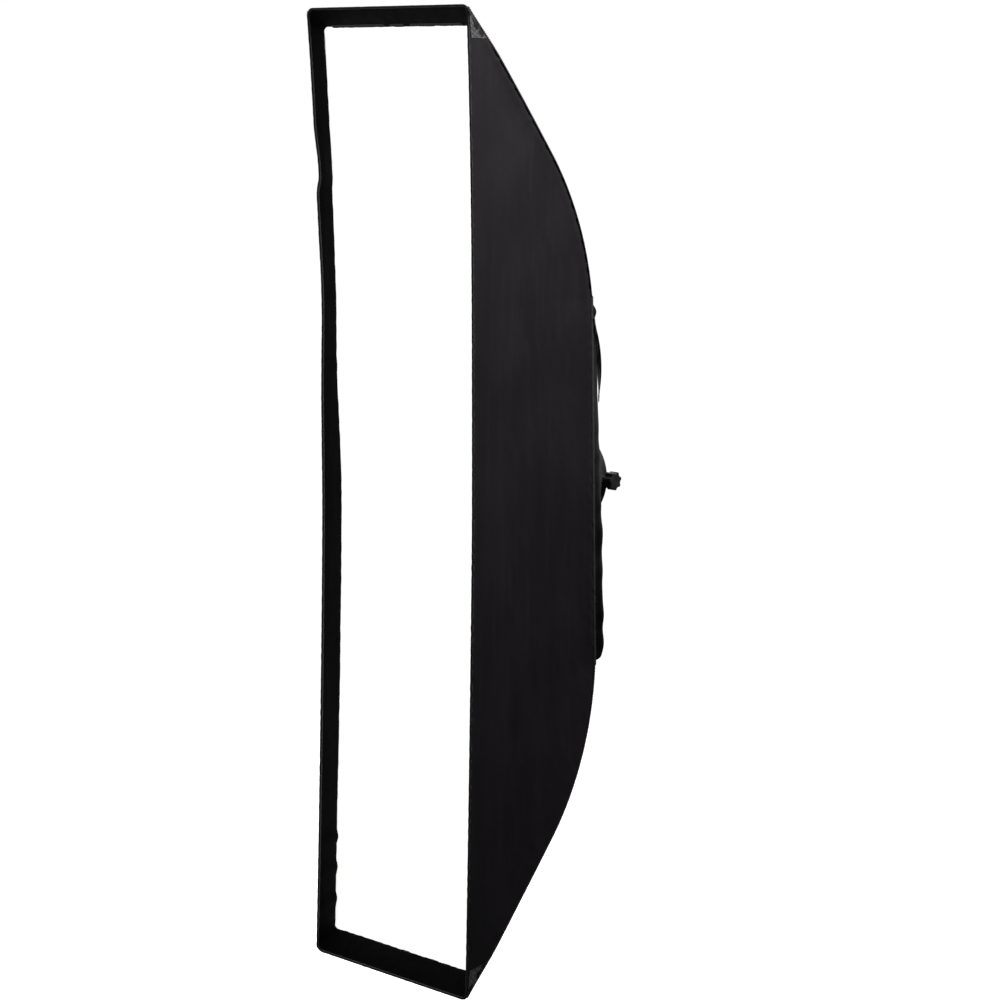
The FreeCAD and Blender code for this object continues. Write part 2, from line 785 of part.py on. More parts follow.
def make_side_panel(side_name, side):
    """A long side: straight in front and behind, curved over the rods, slightly twisted between."""
    front_y = dim("hem_depth") + dim("sewing_gap") - dim("shell_depth")
    front_x = dim("half_width") - dim("hem_step")
    rear_height = dim("rear_half_height")
    top_height = dim("half_height") - 2 * dim("hem_depth")
    parts = []
    rear_corners = []
    for _, level in LEVELS:
        seam = smooth_edge(seam_points(level, rear_height, top_height, 13))
        front = Part.makeLine(
            Vector(front_x, front_y, rear_height), Vector(front_x, front_y, top_height)
        )
        part = Part.makeRuledSurface(front, seam).extrude(RIGHT * -dim("fabric"))
        parts.append(mirrored(part, 1, level))
        corner = seam.Vertexes[0].Point
        rear_corners.append(Vector(corner.x, corner.y, level * corner.z))
    rear_edge = Part.makeLine(rear_corners[1], rear_corners[0])
    middle_front = Part.makeLine(
        Vector(front_x, front_y, -rear_height), Vector(front_x, front_y, rear_height)
    )
    middle = Part.makeRuledSurface(middle_front, rear_edge).extrude(RIGHT * -dim("fabric"))
    panel = middle.fuse(parts).removeSplitter()
    add_solids(f"side_panel_{side_name}", mirrored(panel, side, 1).Solids)


def draw_end_profile(sketch, level):
    """The end panel's section: an arc and a straight run, one fabric thickness deep, in (y, z)."""
    angle = math.radians(number(end_angle(level)))
    radius = number(bend_radius(level))
    root = dim("seam_root_depth") - dim("shell_depth")
    centre = Vector(root - radius, number(bend_start(level)), 0)
    start = math.asin((dim("rear_half_height") - centre.y) / radius)
    run = number(end_run(level)) - 2 * dim("hem_depth")
    forward = Vector(-math.sin(angle), math.cos(angle), 0)
    ends = []
    for layers in (0, 1):
        rim = radius - layers * dim("fabric")
        at = [centre + Vector(math.cos(turn), math.sin(turn), 0) * rim for turn in (start, angle)]
        middle = (start + angle) / 2
        halfway = centre + Vector(math.cos(middle), math.sin(middle), 0) * rim
        index = sketch.addGeometry(Part.Arc(at[0], halfway, at[1]), False)
        bound = sketch.addConstraint(Sketcher.Constraint("Radius", index, rim))
        sketch.setExpression(f"Constraints[{bound}]", f"{bend_radius(level)} - {layers} * Dims.fabric")
        sketch.addGeometry(Part.LineSegment(at[1], at[1] + forward * run), False)
        ends.append((at[0], at[1] + forward * run))
    sketch.addGeometry(Part.LineSegment(ends[0][0], ends[1][0]), False)
    sketch.addGeometry(Part.LineSegment(ends[0][1], ends[1][1]), False)


def make_end_panel(level_name, level):
    """A curved end of the box, between its two rod seams."""
    body = new_body(f"end_panel_{level_name}")
    section = new_sketch(body, "YZ_Plane")
    draw_end_profile(section, level)
    pad(body, section, "2 * Dims.half_width", both_ways=True)
    trim = new_sketch(body, "XZ_Plane")
    clear = "(Dims.fabric + Dims.sewing_gap)"
    spread = f"Dims.trim_margin * {TAPER}"
    for _, side in SIDES:
        low = "Dims.rear_half_height - Dims.trim_margin"
        high = "Dims.half_height + Dims.trim_margin"
        draw_polygon(
            trim,
            [
                (f"{side} * (Dims.rear_half_width - {spread} - {clear})", low),
                (f"{side} * (Dims.half_width + {spread} - {clear})", high),
                (f"{side} * (Dims.half_width + Dims.trim_margin)", high),
                (f"{side} * (Dims.half_width + Dims.trim_margin)", low),
            ],
        )
    pocket(body, trim, both_ways=True)
    body.Placement.Rotation = FreeCAD.Rotation(BACK, 90 - 90 * level)


def cover_depths(level, height, bulge):
    """The depths of the rear cover's crown, shoulder and edge at a height."""
    crown = seam_depth(height, level) + bulge
    edge = rear_seam_depth(height, level) + dim("sewing_gap")
    return crown, edge + dim("cover_shoulder_share") * (crown - edge), edge


def cover_section(body, level, height, bulge):
    """The rear cover's section at a height: flat behind the rods, sloping to the two side seams."""
    crown, shoulder, edge = cover_depths(level, height, bulge)
    thickness = dim("fabric")
    half = [
        (dim("rear_half_width") - dim("sewing_gap"), edge),
        (dim("cover_shoulder_width"), shoulder),
        (dim("cover_slope_width"), crown),
    ]
    outer = half + [(-side, depth) for side, depth in reversed(half)]
    inner = [(side - math.copysign(thickness / 2, side), depth - thickness) for side, depth in outer]
    inner[0] = (outer[0][0] - thickness, edge)
    inner[-1] = (outer[-1][0] + thickness, edge)
    corners = outer + inner[::-1]
    sketch = new_sketch(body, "XY_Plane", str(height))
    draw_polygon(sketch, [(str(side), f"{depth} - Dims.shell_depth") for side, depth in corners])
    return sketch


def make_rear_cover(level_name, level):
    """Half of the rear cover: it slopes from the side seams to the rods and has the ring's hole."""
    body = new_body(f"rear_cover_{level_name}")
    bulge = dim("cover_bulge")
    gap = dim("sewing_gap")
    heights = [
        (gap, bulge),
        (number(bend_start(level)), bulge),
        ((number(bend_start(level)) + dim("rear_half_height")) / 2, bulge),
        (dim("rear_half_height") - 3 * gap, dim("fabric")),
    ]
    sections = [cover_section(body, level, height, rise) for height, rise in heights]
    doc.recompute()
    loft = body.newObject("PartDesign::AdditiveLoft", "Loft_" + body.Label)
    loft.Profile = sections[0]
    loft.Sections = sections[1:]
    loft.Ruled = True
    doc.recompute()
    hole = new_sketch(body, "XZ_Plane")
    draw_circle(hole, "0", "0", "Dims.cover_hole_radius")
    pocket(body, hole, both_ways=True)
    body.Placement.Rotation = FreeCAD.Rotation(BACK, 90 - 90 * level)


def make_collar_band():
    """The elastic band that holds the rear cover round the speed ring."""
    outer = "Dims.collar_radius + Dims.collar_thickness"
    turned(
        "collar_band",
        rectangle("Dims.collar_radius", outer, "-Dims.collar_front", "-Dims.collar_rear"),
    )


def make_seam_binding(corner, side, level):
    """Folded tape sewn beside a rod's seam, from the rear corner to the front."""
    half_width = dim("binding_width") / 2
    half_thick = dim("binding_thickness") / 2
    low = dim("rear_half_height") + 2 * dim("sewing_gap")
    high = dim("half_height") - 4 * dim("hem_depth")
    proud = half_thick + dim("sewing_gap")
    path = Part.Wire([smooth_edge(seam_points(level, low, high, 13, -half_width, proud))])
    start, following = seam_points(level, low, low + 1, 2, -half_width, proud)
    along = (following - start).normalize()
    normal = RIGHT.cross(along).normalize()
    if normal.y < 0:
        normal = -normal
    outline = [
        start + RIGHT * across * half_width + normal * rise * half_thick
        for across, rise in ((-1, -1), (1, -1), (1, 1), (-1, 1), (-1, -1))
    ]
    tape = path.makePipeShell([Part.makePolygon(outline)], True, False)
    add_solids(f"{corner}_seam_binding", mirrored(tape, side, level).Solids)


# ---------------------------------------------------------------- front: hem, diffuser and baffle


def draw_clipped(sketch, half_width, half_height, clip="0"):
    """A rectangle about the middle of a sketch, with its corners cut off if a clip is given."""
    corners = []
    for side, level in ((1, 1), (-1, 1), (-1, -1), (1, -1)):
        tall = (f"{side} * ({half_width})", f"{level} * ({half_height} - ({clip}))")
        wide = (f"{side} * ({half_width} - ({clip}))", f"{level} * ({half_height})")
        if clip == "0":
            corners.append(tall)
        else:
            corners += [tall, wide] if side * level > 0 else [wide, tall]
    return draw_polygon(sketch, corners)


def make_front_binding():
    """The hem tape round the front opening."""
    body = new_body("front_binding")
    frame = new_sketch(body, "XZ_Plane", "Dims.shell_depth")
    clip = "Dims.corner_radius"
    draw_clipped(frame, "Dims.half_width", "Dims.half_height", clip)
    inner_width = "Dims.half_width - Dims.hem_width"
    draw_clipped(frame, inner_width, "Dims.half_height - Dims.hem_width", clip)
    pad(body, frame, "Dims.hem_depth", backwards=True)


def make_sheet(label, depth, half_width, half_height, clip="0", border=None):
    """A flat sheet across the box at a depth, or only its border."""
    body = new_body(label)
    outline = new_sketch(body, "XZ_Plane", f"Dims.shell_depth - ({depth})")
    draw_clipped(outline, half_width, half_height, clip)
    if border is not None:
        draw_clipped(outline, f"{half_width} - {border}", f"{half_height} - {border}", clip)
    pad(body, outline, "Dims.fabric", backwards=True)


def make_front_sheets():
    """The recessed diffuser with its hook-tape border, and the baffle behind it."""
    size = ("Dims.diffuser_half_width", "Dims.diffuser_half_height")
    make_sheet("front_diffuser", "Dims.diffuser_depth", *size)
    behind = "Dims.diffuser_depth + Dims.fabric + Dims.sewing_gap"
    make_sheet("hook_border", behind, *size, border="Dims.border_width")
    baffle = ("Dims.baffle_half_width", "Dims.baffle_half_height")
    make_sheet("inner_baffle", "Dims.baffle_depth", *baffle, clip="Dims.tab_width")


def add_box(label, length, width, height, centre, turn):
    """A thin strip: a box about its own centre, turned and moved to its place."""
    box = doc.addObject("Part::Box", "Box_" + label)
    box.Label = label
    for name, expression in (("Length", length), ("Width", width), ("Height", height)):
        box.setExpression(name, expression)
    doc.recompute()
    half = Vector(number(length), number(width), number(height)) / 2
    box.Placement = FreeCAD.Placement(centre - turn.multVec(half), turn)
    nodes.append(box)


def side_taper():
    """How much a side panel closes in per millimetre of depth, at the middle."""
    return (dim("half_width") - dim("rear_half_width")) / rear_seam_depth(0, 1)


def make_loop_strips():
    """Loop tape on the inside of the lip, which the diffuser's border sticks to."""
    lift = dim("fabric") + dim("sewing_gap") + dim("strip_thickness") / 2
    depth = dim("diffuser_depth")
    half_length = dim("diffuser_half_width") - dim("strip_end_gap")
    for name, level in LEVELS:
        degrees = number(end_angle(level))
        angle = math.radians(degrees)
        height = dim("half_height") - depth / math.tan(angle) - lift / math.sin(angle)
        centre = Vector(0, depth - dim("shell_depth"), level * height)
        add_box(
            f"loop_strip_{name}", f"2 * {half_length}", "Dims.strip_width", "Dims.strip_thickness",
            centre, FreeCAD.Rotation(RIGHT, -level * (90 - degrees)),
        )
    for name, side in SIDES:
        across = dim("half_width") - dim("hem_step") - depth * side_taper() - lift
        centre = Vector(side * across, depth - dim("shell_depth"), 0)
        add_box(
            f"loop_strip_{name}", "Dims.strip_thickness", "Dims.strip_width",
            "2 * (Dims.diffuser_half_height - Dims.strip_corner_gap)",
            centre, FreeCAD.Rotation(UP, side * math.degrees(math.atan(side_taper()))),
        )


def make_baffle_tabs():
    """Elastic tabs from the baffle's ends to the end panels, two at each end."""
    low = dim("baffle_half_height") + dim("sewing_gap")
    high = low + dim("tab_length")
    for name, level in LEVELS:
        solids = []
        for _, side in SIDES:
            corner = Vector(
                side * dim("tab_spacing") - dim("tab_width") / 2,
                dim("baffle_depth") - dim("shell_depth"),
                min(level * low, level * high),
            )
            solids.append(Part.makeBox(dim("tab_width"), dim("fabric"), high - low, corner))
        add_solids(f"baffle_tabs_{name}", solids)


def make_rear_bindings():
    """Folded tape over the straight seams between the side panels and the rear cover."""
    across = dim("rear_half_width") + 2 * dim("sewing_gap") + dim("binding_thickness") / 2
    fall = corner_depth(1) - corner_depth(-1)
    along = Vector(0, fall, 2 * dim("rear_half_height"))
    middle = rear_seam_depth(0, 1) - dim("shell_depth")
    lean = math.degrees(math.atan(side_taper()))
    for name, side in SIDES:
        turn = FreeCAD.Rotation(UP, along) * FreeCAD.Rotation(UP, side * lean)
        add_box(
            f"rear_binding_{name}", "Dims.binding_thickness", "Dims.binding_width",
            "2 * (Dims.rear_half_height - Dims.binding_width)", Vector(side * across, middle, 0), turn,
        )


def slope_middle(height):
    """The middle of the upper rear cover's near slope at a height."""
    crown, shoulder, _ = cover_depths(1, height, dim("cover_bulge"))
    side = (dim("cover_shoulder_width") + dim("cover_slope_width")) / 2
    return Vector(side, (crown + shoulder) / 2 - dim("shell_depth"), height)


def make_webbing_loop():
    """The webbing strap on the rear cover's near slope, bowed out so that a hand goes under it."""
    rise = dim("loop_rise")
    half_chord = dim("loop_length") / 2
    radius = (half_chord**2 + rise**2) / (2 * rise)
    spread = 2 * math.degrees(math.asin(half_chord / radius))
    rims = []
    for name, thickness in (("Outer", "Dims.loop_thickness"), ("Inner", "0")):
        rim = doc.addObject("Part::Cylinder", f"Loop{name}")
        rim.setExpression("Radius", f"{radius} + {thickness}")
        rim.setExpression("Height", "Dims.loop_width")
        rim.Angle = spread
        rims.append(rim)
    strap = doc.addObject("Part::Cut", "Webbing")
    strap.Base, strap.Tool = rims
    strap.Label = "webbing_loop"
    # the strap's axis lies along the slope, and its bow points out of the slope
    low = slope_middle(dim("loop_height") - half_chord)
    high = slope_middle(dim("loop_height") + half_chord)
    along = (high - low).normalize()
    axis = Vector(1, -1, 0).normalize()
    out = along.cross(axis).normalize()
    if out.x < 0:
        out = -out
    start = (low + high) / 2 + out * (rise - radius + dim("sewing_gap")) - axis * dim("loop_width") / 2
    to_middle = FreeCAD.Rotation(out, along, axis, "ZXY") * FreeCAD.Rotation(UP, -spread / 2)
    strap.Placement = FreeCAD.Placement(start, to_middle)
    nodes.append(strap)


# ---------------------------------------------------------------- build, check and write


def make_all():
    """Every piece, from the light forwards."""
    make_adapter()
    make_speed_ring()
    make_retainer_plate()
    make_retainer_screws()
    make_lock_bushes()
    for side_name, side in SIDES:
        make_lock_screw(side_name, side)
    make_pivot_pins()
    for corner, side, level in CORNERS:
        make_rod_socket(corner, side, level)
        make_ferrule(corner, side, level)
        make_rod(corner, side, level)
        make_rod_end(corner, side, level)
        make_seam_binding(corner, side, level)
    for side_name, side in SIDES:
        make_side_panel(side_name, side)
    for level_name, level in LEVELS:
        make_end_panel(level_name, level)
        make_rear_cover(level_name, level)
    make_collar_band()
    make_front_binding()
    make_front_sheets()
    make_loop_strips()
    make_baffle_tabs()
    make_rear_bindings()
    make_webbing_loop()


def check_and_write():
    """Stops on any failed object, then writes each node's STEP file."""
    doc.recompute()
    for item in doc.Objects:
        if {"Invalid", "Error"} & set(item.State):
            raise RuntimeError(f"{item.Label} did not compute: {item.State}")
    os.makedirs("parts", exist_ok=True)
    for node in nodes:
        shape = node.Shape
        if shape.isNull() or not shape.isValid() or not shape.Solids:
            raise RuntimeError(f"{node.Label} has no valid solid")
        shape.exportStep(f"parts/{node.Label}.step")
        print(f"{node.Label}: {len(shape.Solids)} solid(s), {shape.Volume:.0f} mm3")


make_all()
check_and_write()
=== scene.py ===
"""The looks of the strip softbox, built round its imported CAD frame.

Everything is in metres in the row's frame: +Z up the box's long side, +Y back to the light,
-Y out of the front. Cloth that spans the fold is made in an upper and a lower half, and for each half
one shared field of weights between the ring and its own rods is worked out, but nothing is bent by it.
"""

import math

import bmesh
import bpy
import numpy as np
from mathutils import Matrix, Vector


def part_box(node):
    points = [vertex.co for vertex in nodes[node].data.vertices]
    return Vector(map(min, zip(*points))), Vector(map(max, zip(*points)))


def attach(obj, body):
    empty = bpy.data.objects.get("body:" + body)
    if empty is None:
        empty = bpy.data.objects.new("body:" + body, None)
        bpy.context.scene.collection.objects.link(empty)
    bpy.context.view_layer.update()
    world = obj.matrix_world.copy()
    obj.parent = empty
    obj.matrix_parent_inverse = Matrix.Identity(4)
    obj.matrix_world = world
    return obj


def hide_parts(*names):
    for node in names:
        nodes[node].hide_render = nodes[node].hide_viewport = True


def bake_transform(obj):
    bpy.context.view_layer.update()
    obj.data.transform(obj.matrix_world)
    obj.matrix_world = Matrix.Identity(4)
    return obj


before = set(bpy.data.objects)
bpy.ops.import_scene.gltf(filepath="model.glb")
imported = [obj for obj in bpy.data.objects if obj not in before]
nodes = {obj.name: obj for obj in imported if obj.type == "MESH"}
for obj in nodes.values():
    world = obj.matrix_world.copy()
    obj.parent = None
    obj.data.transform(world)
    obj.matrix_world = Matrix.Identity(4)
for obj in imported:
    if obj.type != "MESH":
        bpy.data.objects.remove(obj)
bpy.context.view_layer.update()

LEVELS = [("upper", 1), ("lower", -1)]
SIDES = [("near", 1), ("far", -1)]
CORNERS = [(*level, *side) for level in LEVELS for side in SIDES]

# ---------- shared sizes and the seam's shape

hem_low, hem_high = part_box("front_binding")
HALF_WIDTH = hem_high.x
HALF_HEIGHT = hem_high.z
FRONT_Y = hem_low.y
REAR_HALF_WIDTH = 0.096
REAR_HALF_HEIGHT = 0.324
COVER_HALF_WIDTH = REAR_HALF_WIDTH - 0.0002
ROOT_Y = FRONT_Y + 0.440
CLOTH = 0.00072
DIFFUSER_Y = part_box("front_diffuser")[0].y
BAFFLE_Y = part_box("inner_baffle")[0].y
HOLE_RADIUS = 0.0872
BOW_BACK = 0.020
BOW_IN = 0.005
CORNER_RADIUS = 0.011
PLEATS = 62
SIDE_TAPER = (HALF_WIDTH - REAR_HALF_WIDTH) / (HALF_HEIGHT - REAR_HALF_HEIGHT)


def smooth(t):
    """A smooth step from 0 to 1."""
    t = np.clip(t, 0.0, 1.0)
    return t * t * (3 - 2 * t)


def unit(vectors):
    """Vectors scaled to a length of one."""
    return vectors / np.linalg.norm(vectors, axis=-1, keepdims=True)


def sideways(path, outs):
    """The direction across a band that lies along a path and faces outs."""
    return unit(np.cross(np.gradient(path, axis=0), outs))


def lengths_along(path):
    """How far each point of a path is from its start."""
    steps = np.linalg.norm(np.diff(path, axis=0), axis=1)
    return np.concatenate([[0], np.cumsum(steps)])


def full_turn(count):
    """Evenly spaced angles round a circle."""
    return np.linspace(0, 2 * math.pi, count, endpoint=False)


def grid_of(x, y, z):
    """Three coordinates as one array of points."""
    return np.stack(np.broadcast_arrays(x, y, z), axis=-1)


class Seam:
    """A level's corner seam: a straight root, one bend and a straight end at the front corner."""

    def __init__(self, radius, degrees):
        self.radius = radius
        self.angle = math.radians(degrees)
        self.fall = radius * (1 - math.cos(self.angle))
        run = (ROOT_Y - FRONT_Y - self.fall) / math.sin(self.angle)
        self.end = HALF_HEIGHT - run * math.cos(self.angle)
        self.start = self.end - radius * math.sin(self.angle)
        self.corner_y = float(self.y(REAR_HALF_HEIGHT))

    def y(self, z):
        """Where the seam lies along Y at a height."""
        turn = np.arcsin(np.clip((z - self.start) / self.radius, 0.0, math.sin(self.angle)))
        curved = ROOT_Y - self.radius * (1 - np.cos(turn))
        return curved - np.maximum(0.0, z - self.end) * math.tan(self.angle)

    def height(self, y):
        """The seam's height at a place along Y."""
        fall = np.maximum(ROOT_Y - y, 1e-9)
        drop = 1 - np.minimum(fall, self.fall) / self.radius
        on_bend = self.start + self.radius * np.sqrt(np.maximum(0.0, 1 - drop**2))
        return on_bend + np.maximum(0.0, fall - self.fall) / math.tan(self.angle)


# the box hangs from its ring, so the upper rods are straighter and the lower ones bend more
SEAMS = {1: Seam(0.620, 46.5), -1: Seam(0.514, 50.5)}


def seam_x(z):
    """The corner seams' distance from the middle at a height."""
    return REAR_HALF_WIDTH + (z - REAR_HALF_HEIGHT) * SIDE_TAPER


def rear_line(z, level):
    """Where the straight rear seam lies along Y, at a height above or below the middle."""
    middle = (SEAMS[1].corner_y + SEAMS[-1].corner_y) / 2
    return middle + (SEAMS[level].corner_y - middle) * z / REAR_HALF_HEIGHT


def rear_edge(z, level):
    """The (x, y) of a side panel's rear edge: on the straight seam, then on the corner seam."""
    above = z > REAR_HALF_HEIGHT
    x = np.where(above, seam_x(z), REAR_HALF_WIDTH)
    y = np.where(above, SEAMS[level].y(z), rear_line(z, level))
    return x, y


def panel_x(y, z, level):
    """The taut side panel's distance from the middle."""
    x_rear, y_rear = rear_edge(z, level)
    share = np.clip((y - FRONT_Y) / np.maximum(y_rear - FRONT_Y, 1e-4), 0.0, 1.2)
    return HALF_WIDTH + (x_rear - HALF_WIDTH) * share


def bow(z):
    """How much of the front edge's bow there is at a height: more of it above the middle."""
    share = np.clip(np.abs(z) / HALF_HEIGHT, 0.0, 1.0)
    return np.where(z > 0, 1 - share**3, 1 - share**1.3)


def far_slack(z):
    """How far the far edge hangs inwards, beyond its bow: a long sag that ends in a short kink."""
    sag = 0.0050 * np.exp(-(((z - 0.33) / 0.11) ** 2))
    kink = 0.0065 * smooth((0.62 - z) / 0.08) * smooth((z - 0.50) / 0.03)
    return sag + kink


def bowed(points, level):
    """Points near the front, with the corners rounded, and the long edges pulled back and inwards."""
    points = np.array(points, float)
    x, y, z = points[..., 0], points[..., 1], points[..., 2]
    corner_z = SEAMS[level].height(y)
    radius = 1e-5 + CORNER_RADIUS * (1 - smooth((y - FRONT_Y) / 0.09))
    side_over = np.maximum(np.abs(x) - (seam_x(corner_z) - radius), 0.0)
    end_over = np.maximum(np.abs(z) - (corner_z - radius), 0.0)
    over = np.where(side_over * end_over > 0, np.maximum(np.hypot(side_over, end_over) / radius, 1.0), 1.0)
    x = x - np.sign(x) * side_over * (1 - 1 / over)
    z = z - np.sign(z) * end_over * (1 - 1 / over)
    fade = 1 - smooth((y - FRONT_Y) / 0.33)
    amount = bow(z) * fade
    across = np.clip(x / HALF_WIDTH, -1.0, 1.0)
    hang = np.where(x < 0, far_slack(z), 0.0) * (1 - smooth((y - FRONT_Y) / 0.05))
    return np.stack([x - (BOW_IN * amount + hang) * across, y + BOW_BACK * amount, z], axis=-1)


def recess(signed_z):
    """How far the diffuser lies behind the front edge: a little less in the upper half."""
    return DIFFUSER_Y - FRONT_Y - 0.008 * smooth(signed_z / 0.25)


def ripple(u, v, wavelength, seed, count=9, stretch=1.0):
    """Smooth seeded noise, about -1 to 1, longer along v by the stretch."""
    random = np.random.default_rng(seed)
    total = np.zeros(np.broadcast(u, v).shape)
    for _ in range(count):
        angle = random.uniform(0, 2 * math.pi)
        length = wavelength * random.uniform(0.7, 1.5)
        phase = random.uniform(0, 2 * math.pi)
        ku = 2 * math.pi * math.cos(angle) / length
        kv = 2 * math.pi * math.sin(angle) / (length * stretch)
        total = total + np.sin(ku * u + kv * v + phase)
    return total / math.sqrt(count)


# ---------- mesh building


class Piece:
    """Collects sheets, tubes and stitches, and builds them as one object."""

    def __init__(self):
        self.points = []
        self.faces = []
        self.uvs = []
        self.slots = []
        self.count = 0

    def sheet(self, grid, slot=0, flip=False, closed=False, lost=None):
        """A grid of points (rows, columns, 3) as faces, but none between four lost points.

        The texture's U and V are in metres.
        """
        rows, columns, _ = grid.shape
        step_v = np.linalg.norm(np.diff(grid, axis=0), axis=2).mean(axis=1)
        step_u = np.linalg.norm(np.diff(grid, axis=1), axis=2).mean(axis=0)
        v = np.concatenate([[0], np.cumsum(step_v)])
        u = np.concatenate([[0], np.cumsum(step_u)])
        uv = np.stack(np.meshgrid(u, v), axis=2)
        wrap = columns if closed else columns - 1
        for row in range(rows - 1):
            for column in range(wrap):
                after = (column + 1) % columns
                corners = [(row, column), (row, after), (row + 1, after), (row + 1, column)]
                if lost is not None and all(lost[r, c] for r, c in corners):
                    continue
                if flip:
                    corners.reverse()
                self.faces.append([self.count + r * columns + c for r, c in corners])
                for r, c in corners:
                    wrapped = uv[r, columns - 1] if closed and after == 0 and c == 0 else uv[r, c]
                    self.uvs.append(tuple(wrapped))
                self.slots.append(slot)
        self.points.append(grid.reshape(-1, 3))
        self.count += rows * columns
        return self

    def sweep(self, path, sides, section, slot=0, capped=True, loop=False):
        """A closed section of (out, along side) offsets carried along a path."""
        path = np.asarray(path, float)
        sides = np.broadcast_to(np.asarray(sides, float), path.shape)
        if loop:
            along = np.roll(path, -1, axis=0) - np.roll(path, 1, axis=0)
        else:
            along = np.gradient(path, axis=0)
        along = unit(along)
        sides = unit(sides - (sides * along).sum(axis=1)[:, None] * along)
        outs = np.cross(along, sides)
        section = np.asarray(section, float)
        if section.ndim == 2:
            section = np.repeat(section[None], len(path), axis=0)
        grid = path[:, None] + section[..., :1] * outs[:, None] + section[..., 1:] * sides[:, None]
        if loop:
            grid = np.concatenate([grid, grid[:1]])
        self.sheet(grid, slot, closed=True)
        if capped and not loop:
            size = section.shape[1]
            first = self.count - grid.shape[0] * size
            last = self.count - size
            self.faces.append([first + i for i in reversed(range(size))])
            self.faces.append([last + i for i in range(size)])
            self.uvs += [(0.0, 0.0)] * (2 * size)
            self.slots += [slot, slot]
        return self

    def stitches(self, path, normals, slot=1, pitch=0.0045, length=0.0030, width=0.0005, rise=0.00035):
        """A row of short raised threads along a path."""
        path = np.asarray(path, float)
        normals = np.broadcast_to(np.asarray(normals, float), path.shape)
        at = lengths_along(path)
        total = max(1, int(at[-1] / pitch))
        for index in range(total):
            middle = (index + 0.5) * at[-1] / total
            spots = middle + length * np.linspace(-0.5, 0.5, 5)
            line = np.array([[np.interp(s, at, path[:, k]) for k in range(3)] for s in spots])
            up = unit(np.array([np.interp(middle, at, normals[:, k]) for k in range(3)]))
            side = np.cross(unit(line[-1] - line[0]), up)
            bulge = np.array([0.15, 0.8, 1.0, 0.8, 0.15]) * rise
            grid = np.empty((5, 4, 3))
            for row in range(5):
                top = line[row] + up * bulge[row]
                low = line[row] - up * rise * 0.6
                reach = side * width / 2
                grid[row] = [low - reach, low + reach, top + reach * 0.6, top - reach * 0.6]
            self.sheet(grid, slot, closed=True, flip=True)
        return self

    def build(self, name, materials, thickness=0.0, inner=0):
        """The finished object, with smooth faces and, if asked, a cloth thickness."""
        mesh = bpy.data.meshes.new(name)
        points = np.concatenate(self.points)
        mesh.from_pydata(points.tolist(), [], self.faces)
        layer = mesh.uv_layers.new(name="metres")
        layer.data.foreach_set("uv", np.asarray(self.uvs, np.float32).ravel())
        mesh.polygons.foreach_set("material_index", self.slots)
        mesh.polygons.foreach_set("use_smooth", [True] * len(self.faces))
        for material in materials:
            mesh.materials.append(material)
        mesh.update()
        piece = bpy.data.objects.new(name, mesh)
        bpy.context.scene.collection.objects.link(piece)
        if thickness:
            shell = piece.modifiers.new("thickness", "SOLIDIFY")
            shell.thickness = thickness
            shell.offset = -1.0
            shell.material_offset = inner
            shell.use_even_offset = False
            split = piece.modifiers.new("crisp_rim", "EDGE_SPLIT")
            split.split_angle = math.radians(55)
        return piece


def oval(width, thick, count=14, power=3.0):
    """A rounded flat section: width along the side, thick outwards."""
    angles = full_turn(count)
    cosine, sine = np.cos(angles), np.sin(angles)
    side = np.sign(cosine) * np.abs(cosine) ** (2 / power) * width / 2
    out = np.sign(sine) * np.abs(sine) ** (2 / power) * thick / 2
    return np.stack([out, side], axis=1)


def weights(points, level, reach=None):
    """How far each point would follow the rods: 0 at the ring and in the middle, 1 at the corner seams."""
    x, y, z = points.T
    seam = SEAMS[level]
    top = seam.height(np.clip(y, FRONT_Y, seam.corner_y)) if reach is None else reach
    near_ring = smooth((np.hypot(x, z) - HOLE_RADIUS) / 0.04)
    return smooth(np.abs(z) / top) * near_ring


def fold(piece, level, slot, *replaced, reach=None):
    """Bakes a piece's place into its points, works out its weights between the ring and its level's rods,
    and hides the parts it replaces; nothing is bent.
    """
    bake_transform(piece)
    points = np.empty(len(piece.data.vertices) * 3, np.float32)
    piece.data.vertices.foreach_get("co", points)
    amount = weights(points.reshape(-1, 3).astype(float), level, reach)
    if replaced:
        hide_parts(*replaced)


def carry(piece, body, slot, *replaced):
    """Lets a piece ride rigidly on a body."""
    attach(piece, body)
    if replaced:
        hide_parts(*replaced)


def arms_of(level):
    """The body of one level's rods."""
    return "upper_arms" if level > 0 else "lower_arms"


# ---------- materials


